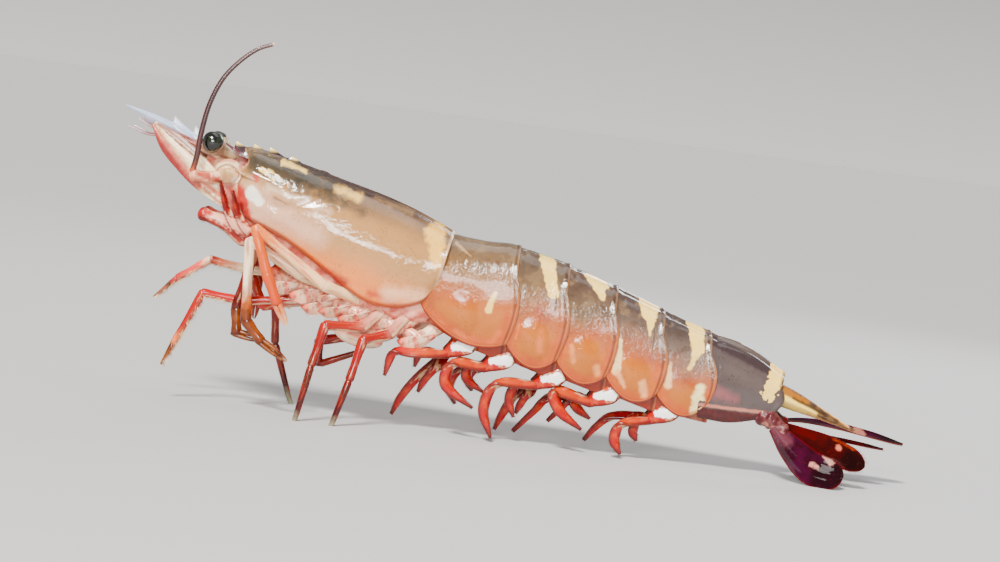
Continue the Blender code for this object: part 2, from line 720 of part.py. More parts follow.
def build_walking_legs(cutters):
    """All ten walking legs, with a foot flat on those that stand."""
    made = []
    for letter, _ in SIDES:
        for i, joints in enumerate(LEGS[letter]):
            name = f"leg_{i + 1}_{letter}"
            if joints[-1][2] < 0:
                toe = last_joint(joints[-2], joints[-1])
                thigh, shin = split_limb(name, joints, LEG_RADII, LEG_KNEE, toe)
                stand_flat(shin)
                trim(thigh, *cutters)
                made += [thigh, shin]
            else:
                leg = walking_leg(name, joints, i < CLAWED_LEGS)
                trim(leg, *cutters)
                made.append(leg)
    return made


def third_maxilliped(letter):
    """A long limb under the mouth that ends in a tapered joint."""
    joints = THIRD_MAXILLIPEDS[letter]
    end = cone("end", joints[-2], joints[-1], THIRD_END_RADIUS, sides=6)
    return split_limb(f"maxilliped_3_{letter}", joints, THIRD_RADII, THIRD_KNEE, end)


def second_maxilliped(letter, side):
    """A blunt limb beside the mouth with two feathery branches over the cheek."""
    pieces = limb_pieces(mirrored(SECOND_LIMB, side), SECOND_RADII)
    for points in FEATHERS:
        path = curve_through(mirrored(points, side), 2)
        widths = spread_values(FEATHER_HALF_WIDTHS, 2)
        depths = [0.55] * len(path)
        pieces.append(blade("feather", path, widths, depths, (1.0, 0, 0.2)))
    return fuse(f"maxilliped_2_{letter}", pieces)


def spread_values(values, steps):
    """Numbers eased between the given ones, steps to each stretch."""
    spread = []
    for low, high in zip(values, values[1:]):
        spread += [low + (high - low) * k / steps for k in range(steps)]
    return spread + [values[-1]]


def antennule(letter, side):
    """The short inner antenna: a jointed stem and two lashes."""
    pieces = limb_pieces(mirrored(ANTENNULE_PEDUNCLE, side), ANTENNULE_RADII)
    for points in ANTENNULE_LASHES:
        path = curve_through(mirrored(points, side), 2)
        radii = [LASH_RADIUS * (1 - 0.5 * i / (len(path) - 1)) for i in range(len(path))]
        pieces.append(tube("lash", path, radii, sides=5))
    return fuse(f"antennule_{letter}", pieces)


def antenna(letter, side):
    """The base of the long antenna: a round bulge and two stout joints."""
    centre, radius = ANTENNA_BULGE
    pieces = [ball("bulge", mirrored([centre], side)[0], radius, 10, 6)]
    pieces += limb_pieces(mirrored(ANTENNA_PEDUNCLE, side), ANTENNA_RADII)
    return fuse(f"antenna_{letter}", pieces)


def flagellum(letter):
    """The whip of the long antenna."""
    path = curve_through(FLAGELLA[letter], 3)
    thick, thin = FLAGELLUM_RADII
    radii = [thick + (thin - thick) * i / (len(path) - 1) for i in range(len(path))]
    return tube(f"antenna_flagellum_{letter}", path, radii)


def antennal_scale(letter, side):
    """The flat plate beside the antenna."""
    path = curve_through(mirrored(SCALE_PATH, side), 2)
    widths = spread_values(SCALE_HALF_WIDTHS, 2)
    depths = [0.9] * len(path)
    return blade(f"antenna_scale_{letter}", path, widths, depths, (0.69, 0, 0.72), rib=0.4)


def pleopod(index, letter, side):
    """A swimming leg: a stout base under the belly and two blades."""
    s = PLEOPOD_ROOTS[index]
    _, _, _, half_width, belly = read_table(ABDOMEN_STATIONS, s)
    top = over_floor(s + 3, belly + PROTOPOD_SINK, side * half_width * 0.52)
    end = over_floor(s - 3, belly + PROTOPOD_SINK - PROTOPOD_LENGTH, side * half_width * 0.6)
    pieces = [segment("protopod", top, end, PROTOPOD_RADIUS, PROTOPOD_RADIUS * 0.75)]
    branch = PLEOPOD_BRANCHES[letter][index]
    lateral = side * half_width * 0.68
    outer = [tuple(end)] + [(x, lateral + side * 0.7 * i, z) for i, (x, z) in enumerate(branch[1:])]
    path = curve_through(outer, 2)
    widths = spread_values(BRANCH_HALF_WIDTHS, 2)
    depths = [BRANCH_HALF_DEPTH] * len(path)
    pieces.append(blade("outer", path, widths, depths, BRANCH_ACROSS))
    start = Vector(end)
    inner = [start + (Vector(p) - start) * INNER_BRANCH for p in outer]
    inner = [Vector((p.x + 2.0, side * half_width * 0.3 + (p.y - end.y) * 0.2, p.z)) for p in inner]
    inner[0] = start
    pieces.append(blade("inner", inner, BRANCH_HALF_WIDTHS, depths, BRANCH_ACROSS))
    return fuse(f"pleopod_{index + 1}_{letter}", pieces)


def telson():
    """The pointed end of the tail, with a groove along its top."""
    rings = []
    for (x, y, z), w, t in zip(TELSON_PATH, TELSON_HALF_WIDTHS, TELSON_HALF_DEPTHS):
        groove = min(TELSON_GROOVE, 0.35 * t)
        outline = (
            (-w, -0.2 * t), (-0.45 * w, t), (0, t - groove), (0.45 * w, t), (w, -0.2 * t),
            (0.5 * w, -0.8 * t), (0, -t), (-0.5 * w, -0.8 * t),
        )
        rings.append([at(x, y + u, z + v) for u, v in outline])
    return loft("telson", rings)


def fan_blade(name, path, half_widths, across):
    """One blade of the tail fan, with a rib raised along it."""
    smooth = curve_through(path, 2)
    widths = spread_values(half_widths, 2)
    depths = [FAN_HALF_DEPTH] * len(smooth)
    return blade(name, smooth, widths, depths, across, rib=FAN_RIB)


def main():
    for old in list(bpy.data.objects):
        bpy.data.objects.remove(old)

    shell_brown = material("shell_brown", (0.30, 0.22, 0.16))
    flesh_pink = material("flesh_pink", (0.75, 0.42, 0.36), 0.35)
    leg_orange = material("leg_orange", (0.72, 0.20, 0.10))
    whip_brown = material("whip_brown", (0.22, 0.08, 0.06))
    scale_cream = material("scale_cream", (0.80, 0.62, 0.52))
    fan_maroon = material("fan_maroon", (0.22, 0.03, 0.04))
    eye_black = material("eye_black", (0.02, 0.03, 0.02), 0.1)

    shield = carapace()
    finish(shield, shell_brown)
    shield_core = plain_carapace("shield_core")
    beak_core = rostrum()
    head_core = body_loft("head_core", HEAD_STATIONS)
    head = body_loft("head", HEAD_STATIONS)
    trim(head, shield_core, beak_core, gap=SHELL_GAP)
    finish(head, flesh_pink)

    cores = [somite(i) for i in range(len(SOMITE_ENDS) - 1)]
    somites = []
    for i, core in enumerate(cores):
        core.name = f"core_{i + 1}"
        ring = somite(i)
        ring.name = f"abdomen_{i + 1}"
        trim(ring, cores[i - 1] if i else shield_core, gap=SHELL_GAP)
        finish(ring, shell_brown)
        somites.append(ring)

    thorax_core = body_loft("thorax_core", THORAX_STATIONS)
    thorax = body_loft("thorax", THORAX_STATIONS)
    trim(thorax, shield_core, head_core, cores[0])
    finish(thorax, flesh_pink)

    for leg in build_walking_legs([thorax_core, shield_core, cores[0]]):
        finish(leg, leg_orange)

    for letter, side in SIDES:
        thigh, shin = third_maxilliped(letter)
        trim(thigh, thorax_core, shield_core)
        finish(thigh, leg_orange)
        finish(shin, leg_orange)
        second = second_maxilliped(letter, side)
        trim(second, thorax_core, head_core, shield_core)
        finish(second, leg_orange)

        centre = mirrored([EYE_CENTRE], side)[0]
        eye = ball(f"eye_{letter}", centre, EYE_RADIUS)
        eye_core = ball("eye_core", centre, EYE_RADIUS)
        finish(eye, eye_black)
        root = mirrored([STALK_ROOT], side)[0]
        stalk = segment(f"eyestalk_{letter}", root, centre, STALK_RADIUS, STALK_RADIUS)
        stalk_core = segment("stalk_core", root, centre, STALK_RADIUS, STALK_RADIUS)
        trim(stalk, eye_core, shield_core, beak_core, head_core)
        finish(stalk, flesh_pink)

        base = antenna(letter, side)
        base_core = antenna(letter, side)
        base_core.name = "antenna_core"
        spine_core = side_spine(*SIDE_SPINES[0], side)
        trim(base, shield_core, head_core, stalk_core, spine_core)
        finish(base, flesh_pink)
        inner = antennule(letter, side)
        trim(inner, shield_core, beak_core, head_core, stalk_core, spine_core)
        finish(inner, flesh_pink)
        plate = antennal_scale(letter, side)
        trim(plate, base_core, head_core, inner)
        finish(plate, scale_cream)
        whip = flagellum(letter)
        trim(whip, base_core)
        finish(whip, whip_brown)

        for i in range(5):
            swimmer = pleopod(i, letter, side)
            trim(swimmer, *cores[max(i - 1, 0):i + 2])
            finish(swimmer, leg_orange)

        foot = segment(f"uropod_base_{letter}", *FAN_BASES[letter], FAN_BASE_RADIUS, FAN_BASE_RADIUS * 0.8)
        foot_core = segment("foot_core", *FAN_BASES[letter], FAN_BASE_RADIUS, FAN_BASE_RADIUS * 0.8)
        trim(foot, cores[5])
        finish(foot, fan_maroon)
        for label, blade_sizes in zip(("exopod", "endopod"), FAN_BLADES[letter]):
            vane = fan_blade(f"uropod_{label}_{letter}", *blade_sizes)
            trim(vane, foot_core, cores[5])
            stand_flat(vane)
            finish(vane, fan_maroon)
        for core in (eye_core, stalk_core, base_core, spine_core, foot_core):
            bpy.data.objects.remove(core)

    tail = telson()
    trim(tail, cores[5])
    finish(tail, shell_brown)
    for core in [shield_core, beak_core, head_core, thorax_core, *cores]:
        bpy.data.objects.remove(core)


main()
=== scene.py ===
"""The looks of a life-size black tiger prawn, a still model that stands on a plain floor.

Places are in millimetres. PLACE.at(x, y, z) is a place over the floor, with the head towards -x, the
animal's left side towards -y and the floor at z = 0. PLACE.on_body(s, h, y) runs along the body: s
tailwards from the tip of the rostrum, h towards the back. Colours are written as the screen shows them.
"""

import logging
import math
import random
from dataclasses import dataclass, field
from enum import Enum
from typing import Callable, Iterable, Optional, Sequence, Union

import bpy
from mathutils import Matrix, Vector, noise


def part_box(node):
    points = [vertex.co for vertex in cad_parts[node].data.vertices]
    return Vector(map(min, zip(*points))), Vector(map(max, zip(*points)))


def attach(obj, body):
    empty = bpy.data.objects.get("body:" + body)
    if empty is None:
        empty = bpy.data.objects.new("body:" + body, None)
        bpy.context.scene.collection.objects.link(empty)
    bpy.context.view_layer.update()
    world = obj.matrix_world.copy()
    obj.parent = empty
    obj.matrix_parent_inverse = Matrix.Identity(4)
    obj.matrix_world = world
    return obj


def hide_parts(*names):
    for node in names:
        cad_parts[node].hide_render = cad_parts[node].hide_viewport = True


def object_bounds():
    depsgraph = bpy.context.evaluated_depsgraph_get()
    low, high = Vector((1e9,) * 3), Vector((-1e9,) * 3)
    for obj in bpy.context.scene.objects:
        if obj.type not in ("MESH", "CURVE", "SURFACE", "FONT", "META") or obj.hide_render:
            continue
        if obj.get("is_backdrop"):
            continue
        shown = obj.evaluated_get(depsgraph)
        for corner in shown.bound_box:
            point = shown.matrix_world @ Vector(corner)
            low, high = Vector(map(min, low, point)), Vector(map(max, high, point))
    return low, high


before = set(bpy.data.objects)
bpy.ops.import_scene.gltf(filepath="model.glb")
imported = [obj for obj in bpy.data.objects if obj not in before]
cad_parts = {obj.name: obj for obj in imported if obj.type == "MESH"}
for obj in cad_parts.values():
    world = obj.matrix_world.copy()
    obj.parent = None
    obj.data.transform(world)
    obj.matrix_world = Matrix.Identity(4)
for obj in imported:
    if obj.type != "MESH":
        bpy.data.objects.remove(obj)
CAD_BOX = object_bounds()

LOG = logging.getLogger("tiger_prawn")
MM = 0.001
BODY = "root"
SIDES = (("L", -1), ("R", 1))
UP = Vector((0, 0, 1))
SIDEWAYS = Vector((0, 1, 0))

Point = tuple[float, float, float]
Flat = tuple[float, float]
Colour = tuple[int, int, int]
Stops = tuple[tuple[float, Colour], ...]
Values = tuple[float, ...]
Table = tuple[Values, ...]
Ring = list[Vector]
Relief = Callable[[float, float, float], float]
Piece = bpy.types.Object
Material = bpy.types.Material


# Measures and curves


@dataclass(frozen=True)
class Placement:
    """Ties the animal's own measures, in millimetres, to the frame, in metres."""

    eye_x: float = -38
    rostrum_tip: Flat = (-72.9, 105.9)
    pitch: float = math.radians(16.2)
    shift: Vector = field(default_factory=Vector)

    @classmethod
    def from_frame(cls) -> "Placement":
        """The placement that the two eyes of the frame show.

        Returns:
            A placement whose shift puts the eyes where the frame has them.
        """
        corners = [corner for side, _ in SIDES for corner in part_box(f"eye_{side}")]
        middle = sum(corners, Vector()) / len(corners)
        return cls(shift=Vector((middle.x - cls.eye_x * MM, middle.y, 0)))

    def at(self, x: float, y: float, z: float) -> Vector:
        """A place over the floor, in metres."""
        return Vector((x, y, z)) * MM + self.shift

    def on_body(self, s: float, h: float, y: float) -> Vector:
        """A place measured along the pitched body, in metres.

        Args:
            s: how far along the body.
            h: how far towards the back.
            y: how far to the side.

        Returns:
            The place in the frame.
        """
        x = self.rostrum_tip[0] + s * math.cos(self.pitch) + h * math.sin(self.pitch)
        z = self.rostrum_tip[1] - s * math.sin(self.pitch) + h * math.cos(self.pitch)
        return self.at(x, y, z)

    def over_floor(self, s: float, h: float, y: float) -> Vector:
        """A place along the body as millimetres over the floor."""
        return (self.on_body(s, h, y) - self.shift) / MM


PLACE = Placement.from_frame()


def eased(rows: Sequence[Sequence[float]], s: float) -> Values:
    """Reads a table of stations on a smooth curve through its rows.

    Args:
        rows: stations, each starting with its own s.
        s: where to read.

    Returns:
        The other columns of the table at s.
    """
    if s <= rows[0][0]:
        return tuple(rows[0][1:])
    if s >= rows[-1][0]:
        return tuple(rows[-1][1:])
    i = max(k for k, row in enumerate(rows[:-1]) if row[0] <= s)
    low, high = rows[i], rows[i + 1]
    before, after = rows[max(i - 1, 0)], rows[min(i + 2, len(rows) - 1)]
    span = high[0] - low[0]
    t = (s - low[0]) / span
    values = []
    for k in range(1, len(low)):
        rise_in = (high[k] - before[k]) / (high[0] - before[0]) * span
        rise_out = (after[k] - low[k]) / (after[0] - low[0]) * span
        values.append(
            (2 * t ** 3 - 3 * t ** 2 + 1) * low[k] + (t ** 3 - 2 * t ** 2 + t) * rise_in
            + (3 * t ** 2 - 2 * t ** 3) * high[k] + (t ** 3 - t ** 2) * rise_out
        )
    return tuple(values)


def curve_through(points: Sequence[Sequence[float]], steps: int, closed: bool = False) -> list[Vector]:
    """Points along a smooth curve through the given ones.

    Args:
        points: the guides, in any number of dimensions up to three.
        steps: how many points each stretch gets.
        closed: whether the curve runs on from the last guide to the first.

    Returns:
        The points of the curve, with the last guide where it is open.
    """
    guides = [Vector(p) for p in points]
    if closed:
        guides = [guides[-1]] + guides + guides[:2]
    else:
        guides = [guides[0] * 2 - guides[1]] + guides + [guides[-1] * 2 - guides[-2]]
    path = []
    for i in range(1, len(guides) - 2):
        a, b, c, d = guides[i - 1:i + 3]
        for k in range(steps):
            t = k / steps
            path.append(0.5 * (2 * b + (c - a) * t + (2 * a - 5 * b + 4 * c - d) * t * t
                               + (3 * b - a - 3 * c + d) * t * t * t))
    return path if closed else path + [guides[-2]]


def spread_values(values: Sequence[float], count: int) -> list[float]:
    """Numbers eased between the given ones, count of them in all."""
    rows = [(i / (len(values) - 1), v) for i, v in enumerate(values)]
    return [eased(rows, k / (count - 1))[0] for k in range(count)]


def paddle(widths: Sequence[float], start: float = 0.7) -> list[float]:
    """Rounds the end of a blade.

    Args:
        widths: its half widths from root to tip.
        start: the share of the way where the rounding starts.

    Returns:
        The half widths, which close in a curve.
    """
    rounded = []
    for i, width in enumerate(widths):
        past = max(0, (i / (len(widths) - 1) - start) / (1 - start))
        rounded.append(max(width * math.sqrt(1 - past ** 2.4), 0.15))
    return rounded


def gauss(distance: float, width: float) -> float:
    """A smooth bump: 1 at no distance, and little past its width."""
    return math.exp(-(distance / width) ** 2)


def distance_to_line(point: Flat, line: Sequence[Flat]) -> float:
    """How far a flat place lies from a line of several stretches.

    Args:
        point: the place.
        line: the corners of the line.

    Returns:
        The shortest distance.
    """
    best = math.inf
    here = Vector(point)
    for start, end in zip(line, line[1:]):
        a = Vector(start)
        way = Vector(end) - a
        t = min(max((here - a).dot(way) / way.length_squared, 0), 1)
        best = min(best, (here - a - way * t).length)
    return best


def mirrored(points: Iterable[Point], side: int) -> list[Point]:
    """Points given for the right side, moved to the side wanted."""
    return [(x, y * side, z) for x, y, z in points]


def heading(path: Sequence[Vector], i: int) -> Vector:
    """The direction of a path at its point i."""
    return (path[min(i + 1, len(path) - 1)] - path[max(i - 1, 0)]).normalized()


def square_to(across: Vector, ahead: Vector) -> Vector:
    """The direction square to ahead that is nearest to across."""
    return (across - ahead * across.dot(ahead)).normalized()


STUDIO_LIGHT = 2.9
HAZE = 0.045
BRIGHTEST_SHOWN = 236
TONE_SCALE = 0.2326
TONE_POWER = 1.22
TONE_BLEND = 0.3295
TONE_SPILL = 0.2431
KNEE = 0.6
KNEE_ROOM = 0.33
DARKEST = 0.002


def pigment(colour: Colour) -> Values:
    """The surface colour that the studio's light and the view's tone curve show as a screen colour.

    Args:
        colour: the screen's red, green and blue, from 0 to 255.

    Returns:
        Linear values for a shader.
    """
    dimming = min(1, BRIGHTEST_SHOWN / max(colour))
    shares = [value * dimming / 255 for value in colour]
    mean = sum(shares) / 3
    mixed = [share + TONE_BLEND * (mean - share) for share in shares]
    lit = [TONE_SCALE * (share / (1 - share)) ** TONE_POWER for share in mixed]
    spill = TONE_SPILL * sum(lit) / 3
    albedo = [((value - spill) / (1 - TONE_SPILL) - HAZE) / STUDIO_LIGHT for value in lit]
    held = [max(value, DARKEST) for value in albedo]
    return tuple(
        value if value < KNEE else KNEE + KNEE_ROOM * (1 - math.exp((KNEE - value) / KNEE_ROOM))
        for value in held
    )


# Shader maths


class Signal:
    """A value in a material's node tree that Python's operators work on."""

    def __init__(self, graph: "Graph", socket: bpy.types.NodeSocket) -> None:
        """Keeps the socket and the graph that it belongs to."""
        self.graph = graph
        self.socket = socket

    def _math(self, operation: str, first: "Number", second: "Number") -> "Signal":
        """Adds one Math node."""
        return self.graph.node("ShaderNodeMath", {"operation": operation}, {0: first, 1: second})

    def __add__(self, other: "Number") -> "Signal":
        """Sum."""
        return self._math("ADD", self, other)

    __radd__ = __add__

    def __sub__(self, other: "Number") -> "Signal":
        """Difference."""
        return self._math("SUBTRACT", self, other)

    def __rsub__(self, other: "Number") -> "Signal":
        """Difference, the other way round."""
        return self._math("SUBTRACT", other, self)

    def __mul__(self, other: "Number") -> "Signal":
        """Product."""
        return self._math("MULTIPLY", self, other)

    __rmul__ = __mul__

    def root(self) -> "Signal":
        """Square root."""
        return self._math("SQRT", self, 0)

    def wave(self) -> "Signal":
        """Sine."""
        return self._math("SINE", self, 0)

    def held(self) -> "Signal":
        """The value kept between 0 and 1."""
        return self.graph.node("ShaderNodeClamp", {}, {0: self})

    def within(self, low: "Number", high: "Number") -> "Signal":
        """0 below low and 1 above high, with a smooth rise between them."""
        return self.graph.node(
            "ShaderNodeMapRange", {"interpolation_type": "SMOOTHSTEP"},
            {"Value": self, 1: low, 2: high, 3: 0, 4: 1}
        )


Number = Union[float, Signal]


@dataclass(frozen=True)
class Gloss:
    """How wet and how translucent a surface is, the same all over it."""

    roughness: float = 0.2
    coat: float = 0.25
    coat_roughness: float = 0.06
    specular: float = 0.42
    subsurface: float = 0.05
    subsurface_depth: float = 0.0025
    subsurface_tint: Point = (1, 0.62, 0.45)


class Graph:
    """The node tree of one material, or of the world."""

    def __init__(self, name: str, world: Optional[bpy.types.World] = None) -> None:
        """Makes the material with its Principled BSDF, or takes the world with its Background.

        Args:
            name: the material's name.
            world: the world, where the nodes are its own.
        """
        self.owner = world or bpy.data.materials.new(name)
        self.owner.use_nodes = True
        self.tree = self.owner.node_tree
        self.shader = self.tree.nodes["Background" if world else "Principled BSDF"]
        self._place: Optional[tuple[Signal, ...]] = None

    def node(self, kind: str, settings: dict, inputs: dict, output: Union[int, str] = 0) -> Signal:
        """Adds a node of any kind.

        Args:
            kind: the node's type.
            settings: properties, or a ramp's stops, that are set before anything is linked.
            inputs: values or signals by socket index or name.
            output: which of the node's outputs is wanted.

        Returns:
            The output as a signal.
        """
        made = self.tree.nodes.new(kind)
        for key, value in settings.items():
            if key == "stops":
                elements = made.color_ramp.elements
                elements.remove(elements[-1])
                elements[0].position = value[0][0]
                elements[0].color = (*pigment(value[0][1]), 1)
                for position, colour in value[1:]:
                    elements.new(position).color = (*pigment(colour), 1)
            else:
                setattr(made, key, value)
        for key, value in inputs.items():
            self.feed(made.inputs[key], value)
        return Signal(self, made.outputs[output])

    def feed(self, socket: bpy.types.NodeSocket, value: Union[Number, Colour, Vector]) -> None:
        """Links a signal to a socket, or sets the socket's own value.

        Args:
            socket: the input.
            value: a signal, a number, a screen colour, or linear values as a Vector.
        """
        if isinstance(value, Signal):
            self.tree.links.new(value.socket, socket)
        elif socket.type == "RGBA":
            socket.default_value = (*(value if isinstance(value, Vector) else pigment(value)), 1)
        else:
            socket.default_value = value

    def coordinates(self) -> Signal:
        """Object coordinates, which are places in the frame."""
        return self.node("ShaderNodeTexCoord", {}, {}, "Object")

    def numbers(self, vector: Signal) -> tuple[Signal, ...]:
        """The three numbers of a vector."""
        split = self.node("ShaderNodeSeparateXYZ", {}, {0: vector})
        return tuple(Signal(self, output) for output in split.socket.node.outputs)

    def place(self) -> tuple[Signal, ...]:
        """Where a point is over the floor, in millimetres.

        Returns:
            The place's x, y and z.
        """
        if self._place is None:
            numbers = self.numbers(self.coordinates())
            self._place = tuple((number - PLACE.shift[i]) * (1 / MM) for i, number in enumerate(numbers))
        return self._place

    def across_along(self) -> tuple[Signal, ...]:
        """The piece's own UV map: round the piece, and along it from root to tip."""
        return self.numbers(self.node("ShaderNodeUVMap", {"uv_map": "UVMap"}, {}))[:2]

    def mark(self, name: str) -> Signal:
        """A number that the mesh carries at each point."""
        return self.node("ShaderNodeAttribute", {"attribute_name": name}, {}, "Fac")

    def vector(self, x: Number, y: Number, z: Number) -> Signal:
        """Three numbers as one vector."""
        return self.node("ShaderNodeCombineXYZ", {}, {0: x, 1: y, 2: z})

    def grain(
        self, size: float, detail: float = 2, vector: Optional[Signal] = None, seed: float = 0
    ) -> Signal:
        """Soft random grain.

        Args:
            size: the size of its grains in millimetres.
            detail: how many finer layers it has.
            vector: what it reads in place of the object's coordinates, in metres.
            seed: another number gives another draw.

        Returns:
            A value about 0.5, mostly between 0.3 and 0.7.
        """
        settings = {"noise_dimensions": "4D"}
        values = {
            "Vector": vector or self.coordinates(), "W": seed, "Scale": 1 / (size * MM), "Detail": detail,
        }
        return self.node("ShaderNodeTexNoise", settings, values)

    def cells(self, size: float) -> Signal:
        """Distance within cells of about the given size, in millimetres.

        Args:
            size: the size of a cell.

        Returns:
            The distance to the middle of the nearest cell.
        """
        settings = {"feature": "F1", "distance": "EUCLIDEAN"}
        values = {"Vector": self.coordinates(), "Scale": 1 / (size * MM), "Randomness": 1}
        return self.node("ShaderNodeTexVoronoi", settings, values, "Distance")

    def speckle(self, size: float, reach: float, seed: float = 0) -> Signal:
        """Small round dots in loose clusters, such as pigment cells make.

        Args:
            size: the distance between dots, in millimetres.
            reach: the size of a dot as a share of that distance.
            seed: another number gives another draw of the clusters.

        Returns:
            1 in a dot and 0 between them.
        """
        clusters = self.grain(size * 5, 2, seed=seed).within(0.42, 0.62)
        return (1 - self.cells(size).within(reach * 0.6, reach)) * clusters

    def mix(self, share: Number, first: Union[Colour, Signal], second: Union[Colour, Signal]) -> Signal:
        """One colour laid over another."""
        return self.node(
            "ShaderNodeMix", {"data_type": "RGBA", "clamp_factor": True}, {0: share, 6: first, 7: second}, 2
        )

    def ramp(self, value: Signal, stops: Stops) -> Signal:
        """Colours by a value, through the given stops."""
        return self.node("ShaderNodeValToRGB", {"stops": stops}, {0: value})

    def height(self, value: Signal, rise: float, base: Optional[Signal] = None) -> Signal:
        """Bump.

        Args:
            value: the height, from 0 to 1.
            rise: how high 1 stands, in millimetres.
            base: a bump that this one is added to.
        """
        inputs = {"Strength": 1, "Distance": rise * MM, "Height": value}
        if base is not None:
            inputs["Normal"] = base
        return self.node("ShaderNodeBump", {}, inputs)

    def finish(
        self,
        colour: Union[Colour, Signal, Vector],
        gloss: Gloss,
        normal: Optional[Signal] = None,
        alpha: Optional[Signal] = None,
    ) -> Material:
        """Feeds the shader.

        Args:
            colour: the base colour.
            gloss: the values that are the same all over.
            normal: the bumps.
            alpha: where the surface is see-through.

        Returns:
            The finished material.
        """
        sockets = self.shader.inputs
        self.feed(sockets["Base Color"], colour)
        self.feed(sockets["Roughness"], gloss.roughness)
        sockets["Metallic"].default_value = 0
        sockets["Specular IOR Level"].default_value = gloss.specular
        sockets["Coat Weight"].default_value = gloss.coat
        sockets["Coat Roughness"].default_value = gloss.coat_roughness
        sockets["Subsurface Weight"].default_value = gloss.subsurface
        sockets["Subsurface Scale"].default_value = gloss.subsurface_depth
        sockets["Subsurface Radius"].default_value = gloss.subsurface_tint
        if normal is not None:
            self.feed(sockets["Normal"], normal)
        if alpha is not None:
            self.feed(sockets["Alpha"], alpha)
        return self.owner


@dataclass(frozen=True)
class Marking:
    """A patch, spot, slash or band, wider or narrower towards its end."""

    start: Flat
    end: Flat
    half_start: float
    half_end: float
    colour: Colour
    soft: float = 0.5
    strength: float = 1
    ragged: float = 1

    def mask(self, graph: Graph, x: Signal, z: Signal, rough: Signal) -> Signal:
        """Where the marking shows.

        Args:
            graph: the material's nodes.
            x: place along the floor in millimetres.
            z: height in millimetres.
            rough: grain about 0 that makes the marking's edge uneven.

        Returns:
            From 0, outside the marking, to its strength inside.
        """
        dx = self.end[0] - self.start[0]
        dz = self.end[1] - self.start[1]
        length = dx * dx + dz * dz
        from_x = x - self.start[0]
        from_z = z - self.start[1]
        share = ((from_x * dx + from_z * dz) * (1 / length)).held() if length > 0 else from_x * 0
        off_x = from_x - share * dx
        off_z = from_z - share * dz
        distance = (off_x * off_x + off_z * off_z).root() + rough * self.ragged
        edge = share * (self.half_end - self.half_start) + self.half_start
        return (1 - distance.within(edge - self.soft, edge + self.soft)) * self.strength


def painted(graph: Graph, colour: Signal, markings: Iterable[Marking], rough_size: float = 3.2) -> Signal:
    """Lays markings over a colour, in their order.

    Args:
        graph: the material's nodes.
        colour: what lies below.
        markings: the lowest first.
        rough_size: the grain that makes edges uneven, in millimetres.

    Returns:
        The resulting colour.
    """
    x, _, z = graph.place()
    rough = (graph.grain(rough_size, 1.6, seed=3) - 0.5) * 2.8
    for marking in markings:
        colour = graph.mix(marking.mask(graph, x, z, rough), colour, marking.colour)
    return colour


# Finishes


CREAM = (254, 232, 186)
IVORY = (252, 224, 168)
PALE_PINK = (244, 214, 202)
CORAL = (240, 98, 44)
NEAR_BLACK = (66, 22, 58)


